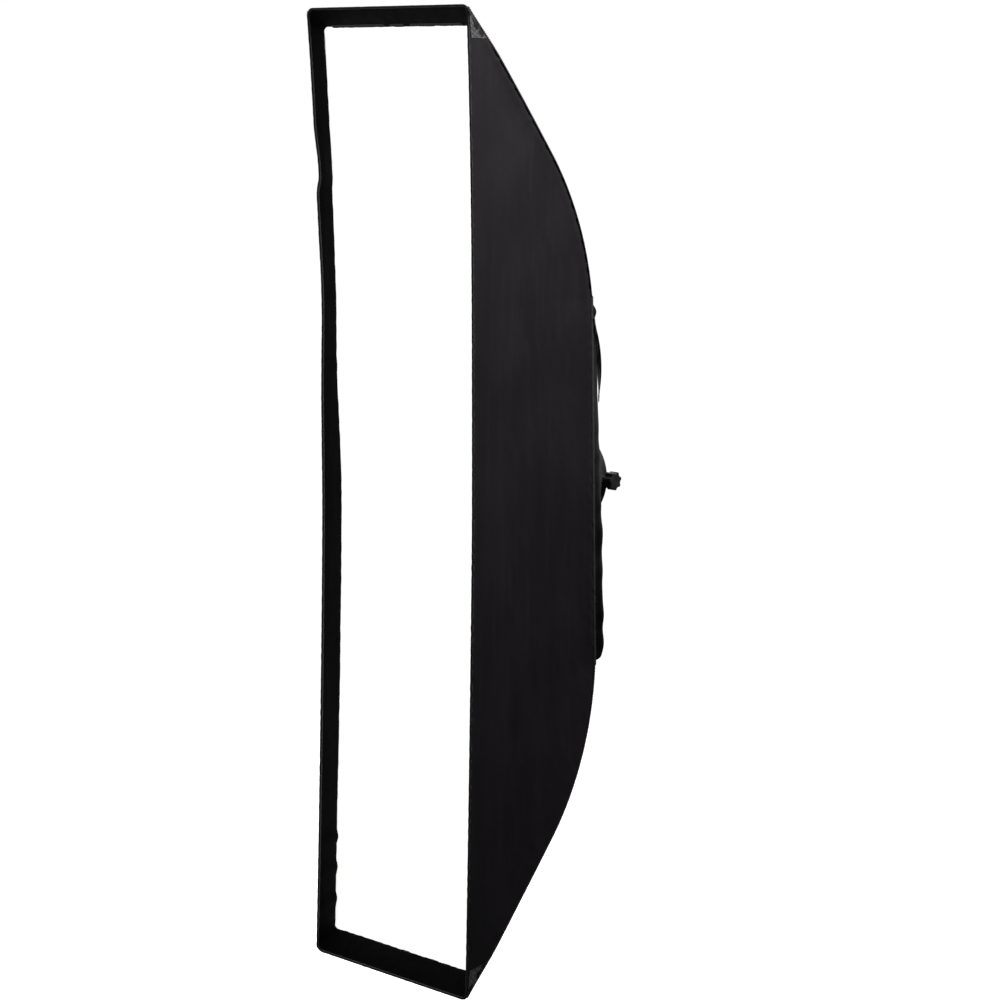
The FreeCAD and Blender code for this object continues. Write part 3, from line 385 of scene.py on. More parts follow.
class Shader:
    """A short way to write the node tree of a material or of the world."""

    def __init__(self, name, world=None):
        self.owner = world or bpy.data.materials.new(name)
        self.owner.use_nodes = True
        self.tree = self.owner.node_tree
        self.tree.nodes.clear()
        coordinates = self.add("TexCoord")
        # along the cloth in metres, and the place in the row's frame
        self.along = coordinates.outputs["UV"]
        self.place = coordinates.outputs["Object"]

    def add(self, kind, inputs=None, **settings):
        """A node, with its settings, and each input a value or another node's socket."""
        node = self.tree.nodes.new("ShaderNode" + kind)
        for name, value in settings.items():
            setattr(node, name, value)
        for key, value in (inputs or {}).items():
            if isinstance(value, bpy.types.NodeSocket):
                self.tree.links.new(value, node.inputs[key])
            else:
                node.inputs[key].default_value = value
        return node

    def math(self, operation, first, second=0.0):
        """The result of a math node."""
        return self.add("Math", {0: first, 1: second}, operation=operation).outputs[0]

    def times(self, first, second):
        """The product of two values."""
        return self.math("MULTIPLY", first, second)

    def plus(self, first, second):
        """The sum of two values."""
        return self.math("ADD", first, second)

    def noise(self, where, scale, detail=3.0, rough=0.5):
        """A noise texture's value."""
        inputs = {"Vector": where, "Scale": scale, "Detail": detail, "Roughness": rough}
        return self.add("TexNoise", inputs).outputs["Fac"]

    def ramp(self, value, low, high, start=0.0, end=1.0):
        """The value mapped smoothly from low-high to start-end."""
        inputs = {"Value": value, "From Min": low, "From Max": high, "To Min": start, "To Max": end}
        return self.add("MapRange", inputs, interpolation_type="SMOOTHSTEP").outputs["Result"]

    def mix(self, share, first, second):
        """Two colours mixed."""
        node = self.add("Mix", {"Factor": share}, data_type="RGBA")
        for index, value in ((6, first), (7, second)):
            if isinstance(value, bpy.types.NodeSocket):
                self.tree.links.new(value, node.inputs[index])
            else:
                node.inputs[index].default_value = (*value, 1.0)
        return node.outputs[2]

    def bump(self, height, strength, distance, normal=None):
        """A bumped normal."""
        inputs = {"Height": height, "Strength": strength, "Distance": distance}
        if normal is not None:
            inputs["Normal"] = normal
        return self.add("Bump", inputs).outputs["Normal"]

    def finish(self, **surface):
        """The surface and the output. Names use _ for a space."""
        inputs = {key.replace("_", " "): value for key, value in surface.items()}
        shader = self.add("BsdfPrincipled", inputs)
        self.add("OutputMaterial", {"Surface": shader.outputs[0]})
        return self.owner


def weave(shader, pitch, twill=False):
    """The height of a plain or twill weave."""
    parts = shader.add("SeparateXYZ", {"Vector": shader.along})
    u = shader.times(parts.outputs["X"], 2 * math.pi / pitch)
    v = shader.times(parts.outputs["Y"], 2 * math.pi / pitch)
    if twill:
        lines = shader.math("SINE", shader.plus(u, v))
        return shader.plus(lines, shader.times(shader.math("SINE", u), 0.3))
    return shader.times(shader.math("SINE", u), shader.math("SINE", v))


def black_cloth(name, colour, pitch=0.0009, sheen=0.03, crease=0.25, shine=0.10):
    """Coated black polyester: a fine weave, soft creases, cloudy sheen and a little lint."""
    shader = Shader(name)
    cloud = shader.noise(shader.place, 7.0, 4.0)
    streak_place = shader.add("Mapping", {"Vector": shader.place, "Scale": (60.0, 60.0, 5.0)})
    streak = shader.noise(streak_place.outputs[0], 1.0, 4.0, 0.6)
    lint = shader.ramp(shader.noise(shader.place, 900.0, 1.0), 0.74, 0.80)
    light = tuple(channel * 1.9 for channel in colour)
    dark = tuple(channel * 0.72 for channel in colour)
    base = shader.mix(shader.ramp(cloud, 0.35, 0.70), dark, colour)
    base = shader.mix(shader.times(shader.ramp(streak, 0.5, 0.75), 0.20), base, light)
    base = shader.mix(shader.times(lint, 0.12), base, (0.30, 0.29, 0.31))
    height = shader.times(weave(shader, pitch), 0.25)
    fine = shader.bump(height, 0.35, 0.0004)
    soft = shader.bump(shader.noise(streak_place.outputs[0], 0.55, 3.0, 0.55), crease, 0.0012, fine)
    return shader.finish(
        Base_Color=base,
        Roughness=shader.ramp(streak, 0.2, 0.8, 0.62, 0.84),
        Normal=soft,
        Sheen_Weight=sheen,
        Sheen_Roughness=0.45,
        Sheen_Tint=(0.85, 0.77, 0.86, 1.0),
        Specular_IOR_Level=shine,
    )


def tape_cloth(name, colour, pitch, rough=0.8, sheen=0.25, strength=0.6):
    """Binding or webbing: a clear twill rib across a narrow band."""
    shader = Shader(name)
    ribs = weave(shader, pitch, twill=True)
    fuzz = shader.noise(shader.place, 700.0, 2.0)
    base = shader.mix(shader.ramp(fuzz, 0.3, 0.8), colour, tuple(c * 2.4 for c in colour))
    height = shader.plus(shader.times(ribs, 0.5), shader.times(fuzz, 0.6))
    return shader.finish(
        Base_Color=base,
        Roughness=shader.ramp(fuzz, 0.3, 0.7, rough - 0.08, rough + 0.1),
        Normal=shader.bump(height, strength, 0.0005),
        Sheen_Weight=sheen,
        Sheen_Roughness=0.5,
    )


def hatch_cloth(name, colour, line):
    """Coarse ballistic weave, seen as pale crossed threads on a dark ground."""
    shader = Shader(name)
    basket = weave(shader, 0.0090)
    cross = weave(shader, 0.0062, twill=True)
    thread = shader.ramp(shader.plus(basket, shader.times(cross, 0.5)), 0.0, 0.9)
    worn = shader.ramp(shader.noise(shader.place, 160.0, 3.0), 0.35, 0.7)
    base = shader.mix(shader.times(thread, worn), colour, line)
    return shader.finish(
        Base_Color=base,
        Roughness=0.7,
        Normal=shader.bump(basket, 0.6, 0.0006),
        Sheen_Weight=0.3,
    )


def silver_cloth():
    """The aluminised lining: crinkled and softly mirror-like."""
    shader = Shader("silver_lining")
    crinkle = shader.noise(shader.place, 45.0, 6.0, 0.65)
    grid = weave(shader, 0.0012)
    height = shader.plus(crinkle, shader.times(grid, 0.04))
    return shader.finish(
        Base_Color=shader.mix(crinkle, (0.62, 0.62, 0.63), (0.78, 0.78, 0.79)),
        Metallic=0.85,
        Roughness=shader.ramp(crinkle, 0.3, 0.7, 0.28, 0.45),
        Normal=shader.bump(height, 0.5, 0.003),
    )


def white_cloth(name, painted_glow):
    """Translucent white nylon with a painted glow, as if softly lit from behind, though no lamp is inside
    the box.
    """
    shader = Shader(name)
    threads = weave(shader, 0.0010)
    cloud = shader.noise(shader.place, 5.0, 3.0)
    parts = shader.add("SeparateXYZ", {"Vector": shader.place})
    # painted light: the glow is a little dimmer towards the ends and varies in soft clouds
    ends = shader.ramp(shader.math("ABSOLUTE", parts.outputs["Z"]), 0.30, 0.80, 1.0, 0.93)
    light = shader.times(ends, shader.ramp(cloud, 0.2, 0.8, 0.985, 1.0))
    return shader.finish(
        Base_Color=shader.mix(threads, (0.86, 0.86, 0.86), (0.92, 0.92, 0.915)),
        Roughness=0.85,
        Normal=shader.bump(threads, 0.25, 0.0003),
        Emission_Color=(1.0, 0.995, 0.985, 1.0),
        Emission_Strength=shader.times(light, painted_glow),
        Sheen_Weight=0.2,
    )


def thread_material(name, colour):
    """Waxed sewing thread with its twist."""
    shader = Shader(name)
    twist = shader.noise(shader.place, 1500.0, 1.0)
    return shader.finish(
        Base_Color=shader.mix(twist, tuple(c * 0.6 for c in colour), colour),
        Roughness=0.5,
        Normal=shader.bump(twist, 0.5, 0.0002),
        Sheen_Weight=0.3,
    )


def rounded(shader, radius):
    """A normal that softens hard edges, and a mask that is 1 on those edges."""
    edge = shader.add("Bevel", {"Radius": radius}, samples=4)
    flat = shader.add("NewGeometry").outputs["Normal"]
    meet = shader.add("VectorMath", {0: edge.outputs[0], 1: flat}, operation="DOT_PRODUCT").outputs["Value"]
    return edge.outputs[0], shader.ramp(meet, 0.995, 0.80)


def powder_coat():
    """Black powder coat on a cast part: orange peel, and bare alloy on worn edges."""
    shader = Shader("powder_coat")
    normal, edge = rounded(shader, 0.0007)
    peel = shader.noise(shader.place, 1300.0, 2.0)
    broad = shader.noise(shader.place, 60.0, 4.0)
    worn = shader.times(edge, shader.ramp(shader.noise(shader.place, 220.0, 3.0), 0.52, 0.62))
    coat = shader.mix(broad, (0.018, 0.018, 0.020), (0.034, 0.034, 0.036))
    return shader.finish(
        Base_Color=shader.mix(worn, coat, (0.42, 0.42, 0.43)),
        Metallic=shader.times(worn, 0.9),
        Roughness=shader.ramp(broad, 0.3, 0.7, 0.42, 0.55),
        Normal=shader.bump(peel, 0.35, 0.0003, normal),
    )


def turned_metal(name, colour, axis, rough=0.28):
    """Lathe-turned metal: fine rings about its axis, smudges and a few scratches."""
    shader = Shader(name)
    normal, edge = rounded(shader, 0.0004)
    parts = shader.add("SeparateXYZ", {"Vector": shader.place})
    across = [letter for letter in "XYZ" if letter != axis]
    squares = [shader.math("POWER", parts.outputs[letter], 2.0) for letter in across]
    radius = shader.math("SQRT", shader.plus(squares[0], squares[1]))
    rings = shader.math("SINE", shader.times(radius, 2 * math.pi / 0.0006))
    smudge = shader.noise(shader.place, 45.0, 4.0)
    scratches = shader.ramp(shader.noise(shader.place, 500.0, 6.0, 0.8), 0.60, 0.70)
    grooves = shader.times(scratches, -0.25)
    height = shader.plus(shader.times(rings, 0.3), grooves)
    base = shader.mix(smudge, tuple(c * 0.8 for c in colour), colour)
    return shader.finish(
        Base_Color=shader.mix(shader.times(edge, 0.6), base, (0.9, 0.9, 0.9)),
        Metallic=1.0,
        Roughness=shader.ramp(smudge, 0.3, 0.7, rough - 0.06, rough + 0.16),
        Normal=shader.bump(height, 0.25, 0.0002, normal),
        Anisotropic=0.4,
    )


def moulded_plastic(name, colour, grain, rough):
    """Moulded black plastic or rubber with a spark-eroded grain."""
    shader = Shader(name)
    normal, edge = rounded(shader, 0.0006)
    fine = shader.noise(shader.place, grain, 2.0)
    broad = shader.noise(shader.place, 90.0, 3.0)
    base = shader.mix(broad, tuple(c * 0.7 for c in colour), tuple(c * 1.4 for c in colour))
    return shader.finish(
        Base_Color=shader.mix(shader.times(edge, 0.25), base, (0.16, 0.16, 0.17)),
        Roughness=shader.ramp(broad, 0.3, 0.7, rough - 0.08, rough + 0.08),
        Normal=shader.bump(fine, 0.4, 0.0003, normal),
    )


def glass_fibre():
    """Pultruded black rod: fine fibres along its length under a thin gloss."""
    shader = Shader("glass_fibre_rod")
    stretched = shader.add("Mapping", {"Vector": shader.place, "Scale": (2500.0, 60.0, 60.0)})
    fibre = shader.noise(stretched.outputs[0], 1.0, 4.0, 0.7)
    return shader.finish(
        Base_Color=shader.mix(fibre, (0.012, 0.012, 0.013), (0.06, 0.06, 0.058)),
        Roughness=shader.ramp(fibre, 0.3, 0.7, 0.22, 0.38),
        Normal=shader.bump(fibre, 0.2, 0.0002),
        Coat_Weight=0.4,
        Coat_Roughness=0.15,
    )


SHELL = black_cloth("shell_cloth", (0.0185, 0.0155, 0.0185))
# painted light: the rear cover's black cloth is painted about two and a half times lighter than the
# shell's, standing in for light from behind on its sides
COVER_PAINTED_LIGHTER = black_cloth("cover_cloth_painted_lighter", (0.046, 0.043, 0.045), sheen=0.08, crease=0.4, shine=0.05)
LINING = silver_cloth()
LIP = black_cloth("lip_cloth", (0.0035, 0.0029, 0.0031), 0.0012, shine=0.05)
BINDING = tape_cloth("binding_tape", (0.006, 0.006, 0.0065), 0.0016)
WEBBING = tape_cloth("flat_webbing", (0.016, 0.016, 0.017), 0.0028, rough=0.6, sheen=0.4)
ELASTIC = tape_cloth("ribbed_elastic", (0.014, 0.014, 0.015), 0.0022, rough=0.75)
PATCH = hatch_cloth("corner_patch_cloth", (0.008, 0.008, 0.009), (0.13, 0.125, 0.135))
HOOKS = tape_cloth("hook_tape", (0.012, 0.012, 0.012), 0.0019, rough=0.6, sheen=0.1, strength=1.0)
LOOPS = tape_cloth("loop_tape", (0.010, 0.010, 0.010), 0.0024, rough=0.95, sheen=0.3, strength=0.8)
# painted light: the diffuser glows fully and the baffle faintly, with no lamp behind them
DIFFUSER = white_cloth("diffuser_cloth", 1.0)
BAFFLE = white_cloth("baffle_cloth", 0.15)
BLACK_THREAD = thread_material("black_thread", (0.014, 0.014, 0.016))
COAT = powder_coat()
TURNED = turned_metal("turned_alloy", (0.62, 0.62, 0.63), "Y")
PLATED = turned_metal("plated_steel", (0.55, 0.55, 0.57), "X", rough=0.24)
BRASS = turned_metal("turned_brass", (0.72, 0.55, 0.25), "X", rough=0.3)
KNOB = moulded_plastic("knob_plastic", (0.022, 0.022, 0.024), 1400.0, 0.5)
RUBBER = moulded_plastic("tip_rubber", (0.030, 0.030, 0.030), 2200.0, 0.72)
FIBRE = glass_fibre()

# ---------- CAD pieces that stay


def dress(name, material):
    """Gives a CAD node's object its finished material."""
    slots = nodes[name].data.materials
    for index in range(len(slots)):
        slots[index] = material
    if not len(slots):
        slots.append(material)


dress("bayonet_adapter", TURNED)
dress("speed_ring", COAT)
dress("retainer_plate", TURNED)
dress("retainer_screws", PLATED)
dress("lock_bushes", BRASS)
dress("pivot_pins", PLATED)
for side_name, _ in SIDES:
    dress(f"{side_name}_clamp_pad", BRASS)
    dress(f"{side_name}_lock_stud", PLATED)
    dress(f"{side_name}_lock_knob", KNOB)
for level_name, _, side_name, _ in CORNERS:
    corner = f"{level_name}_{side_name}"
    dress(f"{corner}_rod_socket", COAT)
    dress(f"{corner}_ferrule", PLATED)
    dress(f"{corner}_rod", FIBRE)
    dress(f"{corner}_rod_tip", RUBBER)

# ---------- shell cloth


def side_cloth(side_name, side, level_name, level):
    """Half of a long side: taut between the rods, puckered beside the seams, bowed at the front."""
    rows = 190
    columns = 90
    z = np.linspace(0.0, HALF_HEIGHT - 0.003, rows)[:, None]
    share = np.linspace(0.0, 1.0, columns)[None]
    _, y_rear = rear_edge(z, level)
    y_front = FRONT_Y + 0.002
    y = y_front + (y_rear - y_front) * share
    x = panel_x(y, z, level)
    lean = np.where(z > REAR_HALF_HEIGHT, math.cos(SEAMS[level].angle * 0.8), 1.0)
    to_seam = np.maximum((y_rear - y) * lean, 0.0)
    to_front = y - y_front
    signed_z = level * z
    along_seam = z + 0.6 * (SEAMS[level].corner_y - y)
    # a hollow between the rods, a ridge beside each rod, long folds, creases, and puckers at both edges
    inward = smooth(to_seam / 0.06) * smooth((to_front - 0.045) / 0.09)
    relief = -0.0030 * inward
    relief += 0.0012 * np.exp(-((to_seam - 0.010) / 0.010) ** 2)
    folds = ripple(y, signed_z, 0.060, 11 + side, stretch=5.0)
    relief += 0.0006 * folds * inward
    relief += 0.0002 * ripple(y, signed_z, 0.022, 21 + side, stretch=3.0) * inward
    pucker = ripple(along_seam, to_seam * 0.2, 0.017, 31 + side, count=5)
    relief += 0.0008 * pucker * np.exp(-to_seam / 0.016) * smooth(to_seam / 0.003)
    tuck = ripple(signed_z, to_front * 0.2, 0.020, 41 + side, count=5)
    relief += 0.0004 * tuck * np.exp(-to_front / 0.012) * smooth(to_front / 0.002)
    grid = bowed(grid_of(side * (x + relief), y, signed_z), level)
    cloth = Piece().sheet(grid, flip=(side * level < 0))
    piece = cloth.build(f"side_cloth_{side_name}_{level_name}", [SHELL, LINING], CLOTH, 1)
    fold(piece, level, "shell_fabric", f"side_panel_{side_name}")


def end_cloth(level_name, level):
    """A curved end of the box between its two rods, hollowed a little by its tension."""
    rows = 190
    columns = 76
    z = np.linspace(REAR_HALF_HEIGHT + 0.001, HALF_HEIGHT - 0.002, rows)[:, None]
    across = np.linspace(-1.0, 1.0, columns)[None]
    x = across * (seam_x(z) - 0.001)
    seam = SEAMS[level].y(z)
    slope = np.arctan(np.gradient(-seam[:, 0], z[:, 0]))[:, None]
    to_seam = seam_x(z) - 0.001 - np.abs(x)
    to_ends = np.minimum(z - REAR_HALF_HEIGHT, HALF_HEIGHT - 0.060 - z)
    # a hollow across the end, soft folds in it, and puckers beside the rods
    hollow = (1 - across**2) * smooth(to_ends / 0.12)
    relief = -0.0035 * hollow
    relief += 0.0007 * ripple(x, z, 0.050, 51 + level, stretch=2.5) * hollow
    pucker = ripple(z * 1.3, to_seam * 0.2, 0.016, 61 + level, count=5)
    relief += 0.0007 * pucker * np.exp(-to_seam / 0.014) * smooth(to_seam / 0.003)
    y = seam + relief * np.cos(slope)
    z = z + relief * np.sin(slope)
    grid = bowed(grid_of(x, y, level * z), level)
    cloth = Piece().sheet(grid, flip=(level > 0))
    piece = cloth.build(f"end_cloth_{level_name}", [SHELL, LINING], CLOTH, 1)
    carry(piece, arms_of(level), "shell_fabric", f"end_panel_{level_name}")


def squareness(z, level):
    """How square the rear cover's section is: softer above, fuller below."""
    return 3.2 + 2.0 * smooth(0.5 - level * z / 0.4)


def cover_y(x, z, level):
    """The rear cover's place along Y: a soft square section over the rods, fuller below."""
    edge = rear_line(z, level)
    shut = smooth((REAR_HALF_HEIGHT - z) / 0.016)
    fuller = (0.006 + 0.003 * smooth(0.5 - level * z / 0.3)) * shut
    crown = np.minimum(SEAMS[level].y(z) + fuller, ROOT_Y + fuller)
    rise = np.maximum(crown - edge, 0.0012)
    power = squareness(z, level)
    share = np.clip(np.abs(x) / COVER_HALF_WIDTH, 0.0, 1.0)
    return edge + rise * np.maximum(1 - share**power, 0.0) ** (1 / power)


def rear_cloth(level_name, level):
    """Half of the rear cover: full and soft over the rods, gathered round the ring."""
    rows = 130
    columns = 150
    z = np.linspace(0.0, REAR_HALF_HEIGHT - 0.0005, rows)[:, None]
    turn = np.linspace(0.0, 1.0, columns)[None]
    angle = math.pi * turn - 0.12 * math.pi * np.sin(2 * math.pi * turn)
    power = squareness(z, level)
    cosine = np.cos(angle)
    x = np.sign(cosine) * np.abs(cosine) ** (2 / power) * COVER_HALF_WIDTH
    radius = np.hypot(x, z)
    inside = radius < HOLE_RADIUS
    pull = np.where(inside, HOLE_RADIUS / np.maximum(radius, 1e-6), 1.0)
    hidden = radius < HOLE_RADIUS - 0.006
    x = x * pull
    z = z * pull
    signed_z = level * z
    y = cover_y(x, z, level)
    behind = y - rear_line(z, level)
    radius = np.hypot(x, z)
    around = np.arctan2(z, x)
    pleats = np.cos(around * PLEATS + 0.8 * ripple(x, signed_z, 0.08, 71))
    gather = pleats * np.exp(-(radius - HOLE_RADIUS) / 0.010)
    collar_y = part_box("collar_band")[0].y + 0.0015
    # the collar lifts and pleats the cloth round the hole, but not where the cloth meets its seam
    held = smooth((REAR_HALF_WIDTH - 0.0004 - np.abs(x)) / 0.005)
    drawn_up = np.exp(-(((radius - HOLE_RADIUS) / 0.006) ** 2)) * held
    y = y + np.maximum(collar_y - y, 0.0) * drawn_up + 0.0008 * gather * held
    soft = smooth((radius - HOLE_RADIUS) / 0.03) * smooth((REAR_HALF_WIDTH - np.abs(x)) / 0.01)
    y = y + 0.0012 * ripple(x, signed_z, 0.06, 72) * soft * smooth((REAR_HALF_HEIGHT - z) / 0.05)
    # the sides swell outwards behind the seam, more below, and bunch up near the upper end
    bulge = smooth(behind / 0.012) * (1 - smooth(behind / 0.034))
    fuller = 0.0040 + 0.0125 * smooth(0.5 - signed_z / 0.35)
    bunch = 0.013 * np.exp(-(((signed_z - 0.300) / 0.012) ** 2))
    wave = 1 + 0.15 * ripple(signed_z, y, 0.05, 73)
    shut = smooth((REAR_HALF_HEIGHT - z) / 0.012)
    x = x + np.sign(x) * (fuller * wave + bunch) * bulge * shut
    grid = grid_of(x, y, signed_z)
    cloth = Piece().sheet(grid, flip=(level < 0), lost=hidden)
    # the cover cloth carries painted light: it is coloured lighter than the shell cloth
    piece = cloth.build(f"rear_cloth_{level_name}", [COVER_PAINTED_LIGHTER, LINING], CLOTH, 1)
    tidy(piece)
    fold(piece, level, "shell_fabric", f"rear_cover_{level_name}")


def tidy(piece):
    """Merges doubled points and drops loose ones and faces with no area."""
    work = bmesh.new()
    work.from_mesh(piece.data)
    bmesh.ops.remove_doubles(work, verts=work.verts, dist=0.00002)
    bmesh.ops.dissolve_degenerate(work, edges=work.edges, dist=0.00001)
    loose = [vertex for vertex in work.verts if not vertex.link_faces]
    bmesh.ops.delete(work, geom=loose, context="VERTS")
    work.to_mesh(piece.data)
    work.free()


for side_name, side in SIDES:
    for level_name, level in LEVELS:
        side_cloth(side_name, side, level_name, level)
for level_name, level in LEVELS:
    end_cloth(level_name, level)
    rear_cloth(level_name, level)

# ---------- bindings, patches and pockets


def seam_path(side, level):
    """Points along a corner seam, just outside it, and the direction out of the corner at each."""
    count = 260
    z = np.linspace(REAR_HALF_HEIGHT, HALF_HEIGHT - 0.004, count)
    y = SEAMS[level].y(z)
    slope = np.arctan(np.gradient(-y, z))
    rise = grid_of(0.0, np.cos(slope), np.sin(slope))
    outs = unit(rise + np.array([1.0, 0.0, 0.0]))
    path = grid_of(seam_x(z), y, z)
    flip = np.array([side, 1.0, level])
    outs = outs * flip
    return bowed(path * flip, level) + outs * 0.0004, outs


def binding_section(path, width, thick, seed):
    """A tape's section that puckers a little along its path."""
    at = lengths_along(path)
    swell = 1 + 0.10 * ripple(at, 0 * at, 0.016, seed, count=5)
    section = oval(width, thick)
    return section[None] * np.stack([swell, 1 + (swell - 1) * 0.5], axis=1)[:, None]


def sewn_tape(path, outs, width, thick, seed):
    """A folded tape along a path, with a row of stitches near each of its edges."""
    sides = sideways(path, outs)
    tape = Piece().sweep(path, sides, binding_section(path, width, thick, seed))
    for edge in (-1, 1):
        row = path + sides * edge * (width / 4 + 0.0003) + outs * (thick / 2 - 0.0001)
        tape.stitches(row, outs)
    return tape


def curved_binding(corner, side, level):
    """The folded tape sewn over a rod's seam."""
    path, outs = seam_path(side, level)
    tape = sewn_tape(path, outs, 0.0072, 0.0030, 81 + level * 2 + side)
    piece = tape.build(f"{corner}_seam_tape", [BINDING, BLACK_THREAD])
    carry(piece, arms_of(level), "binding_tape", f"{corner}_seam_binding")


def straight_binding(side_name, side, level_name, level):
    """Half of the tape over the straight seam between a side panel and the rear cover."""
    z = np.linspace(0.0, REAR_HALF_HEIGHT, 130)
    path = grid_of(side * (REAR_HALF_WIDTH + 0.0004), rear_line(z, level) + 0.0005, level * z)
    outs = np.array([side * 0.989, 0.148, 0.0])
    tape = sewn_tape(path, outs, 0.0084, 0.0040, 91 + level * 2 + side)
    piece = tape.build(f"rear_tape_{side_name}_{level_name}", [BINDING, BLACK_THREAD])
    fold(piece, level, "binding_tape", f"rear_binding_{side_name}")


def corner_patch(corner, side, level):
    """The sewn patch of coarse weave over a front corner, where the rod's pocket is stitched on."""
    rows = 22
    columns = 22
    z = np.linspace(HALF_HEIGHT - 0.052, HALF_HEIGHT - 0.006, rows)[:, None]
    share = np.linspace(0.10, 0.93, columns)[None]
    y = FRONT_Y + (SEAMS[level].y(z) - FRONT_Y) * share
    x = panel_x(y, z, level) + 0.0009 + 0.0002 * ripple(y, z, 0.012, 101)
    grid = bowed(grid_of(side * x, y, level * z), level)
    patch = Piece().sheet(grid, flip=(side * level < 0))
    lift = np.array([side * 0.0003, 0.0, 0.0])
    edge = np.concatenate([grid[0, 1:-1], grid[1:-1, -2], grid[-2, -2:0:-1]])
    patch.stitches(edge + lift, [side, 0.0, 0.0])
    piece = patch.build(f"{corner}_patch", [PATCH, BLACK_THREAD], 0.0006)
    carry(piece, arms_of(level), "pocket_webbing")


def rod_pocket(corner, side, level):
    """The sewn sleeve that holds a rod's tip, round the rod and flattened at its sewn edge."""
    name = f"{corner}_corner_pocket"
    mesh = nodes[name].data
    points = np.array([vertex.co for vertex in mesh.vertices], float)
    middle = points.mean(axis=0)
    _, _, axes = np.linalg.svd(points - middle)
    axis = axes[0] * np.sign(axes[0][2] * level)
    reach = (points - middle) @ axis
    start, end = reach.min() + 0.003, reach.max() - 0.003
    side_way = unit(np.cross(axis, [side, 0, 0]))
    count = 40
    at = np.linspace(start, end, count)
    path = middle + at[:, None] * axis
    angles = full_turn(28)
    rib = 1 + 0.015 * ripple(at, 0 * at, 0.010, 111, count=4)
    nose = np.sqrt(np.clip(1 - np.clip((at - (end - 0.008)) / 0.0085, 0, 1) ** 2, 0.02, 1))
    radius = 0.0069 * rib * nose
    section = np.stack([np.cos(angles), np.sin(angles)], axis=1)[None] * radius[:, None, None]
    sleeve = Piece().sweep(path, side_way, section, capped=False)
    piece = sleeve.build(f"{corner}_rod_sleeve", [PATCH, BLACK_THREAD], 0.0008)
    carry(piece, arms_of(level), "pocket_webbing", name)


for level_name, level, side_name, side in CORNERS:
    corner = f"{level_name}_{side_name}"
    curved_binding(corner, side, level)
    straight_binding(side_name, side, level_name, level)
    corner_patch(corner, side, level)
    rod_pocket(corner, side, level)

# ---------- front: hem, lip, diffuser, tapes


def front_path(level, depth, inset, spacing=0.004, rounding=CORNER_RADIUS):
    """A path round half of the front at a depth: up the near side, across the end, down the far side.

    The depth is for the lower half, and shrinks with the recess in the upper half.
    """
    share = depth / (DIFFUSER_Y - FRONT_Y)
    end_y = FRONT_Y + share * float(recess(level * HALF_HEIGHT))
    half_height = float(SEAMS[level].height(end_y)) - inset
    half_width = float(panel_x(end_y, half_height, level)) - inset
    count = int(HALF_HEIGHT / spacing)
    z = np.linspace(0.0, half_height - rounding, count)
    side_x = panel_x(FRONT_Y + share * recess(level * z), z, level) - inset
    side_x = side_x + (half_width - side_x[-1]) * smooth(z / half_height)
    turn = np.linspace(0, math.pi / 2, 8)[1:-1]
    bend_x = half_width - rounding + rounding * np.cos(turn)
    bend_z = half_height - rounding + rounding * np.sin(turn)
    top_x = np.linspace(half_width - rounding, 0.0, 44)
    quarter_x = np.concatenate([side_x, bend_x, top_x])
    quarter_z = np.concatenate([z, bend_z, np.full(44, half_height)])
    all_x = np.concatenate([quarter_x, -quarter_x[-2::-1]])
    all_z = np.concatenate([quarter_z, quarter_z[-2::-1]])
    return bowed(grid_of(all_x, FRONT_Y + share * recess(level * all_z), level * all_z), level)


def outward_of(path):
    """The direction away from the opening's middle at each point of a front path, in its plane."""
    outs = sideways(path, [0.0, 1.0, 0.0])
    middle = len(path) // 2
    if outs[middle][2] * path[middle][2] < 0:
        outs = -outs
    return outs


def hem(level_name, level):
    """Half of the binding round the front edge, with its row of stitches."""
    path = front_path(level, 0.0020, 0.0020)
    outs = outward_of(path)
    tape = Piece().sweep(path, outs, binding_section(path, 0.0038, 0.0040, 121 + level))
    front = np.array([0.0, -1.0, 0.0])
    tape.stitches(path + 0.0019 * front, front)
    piece = tape.build(f"front_hem_{level_name}", [BINDING, BLACK_THREAD])
    fold(piece, level, "binding_tape", "front_binding")


def lip(level_name, level):
    """Half of the black facing inside the front edge, from the hem back to the diffuser."""
    depths = np.linspace(0.0030, DIFFUSER_Y - FRONT_Y - 0.0004, 16)
    insets = 0.0026 + 0.0006 * np.sin(np.linspace(0, math.pi, 16))
    paths = [front_path(level, depth, inset) for depth, inset in zip(depths, insets)]
    grid = np.stack(paths)
    outs = outward_of(paths[0])
    back = np.linspace(0, 1, len(depths))[:, None]
    around = lengths_along(paths[0])[None]
    wave = ripple(around + 0 * back, back * 0.02, 0.045, 131 + level) * (0.3 + 0.7 * back)
    grid = grid - outs[None] * (0.0008 * np.abs(wave) * back)[..., None]
    if level < 0:
        far = smooth(-grid[..., 0] / HALF_WIDTH * 4 - 2)
        bunch = sum(np.exp(-(((grid[..., 2] + at) / 0.011) ** 2)) for at in (0.600, 0.655, 0.712))
        grid[..., 0] += 0.0045 * bunch * far * back
    piece = Piece().sheet(grid, flip=(level < 0)).build(f"front_lip_{level_name}", [LIP], 0.0006)
    fold(piece, level, "shell_fabric", "front_binding")


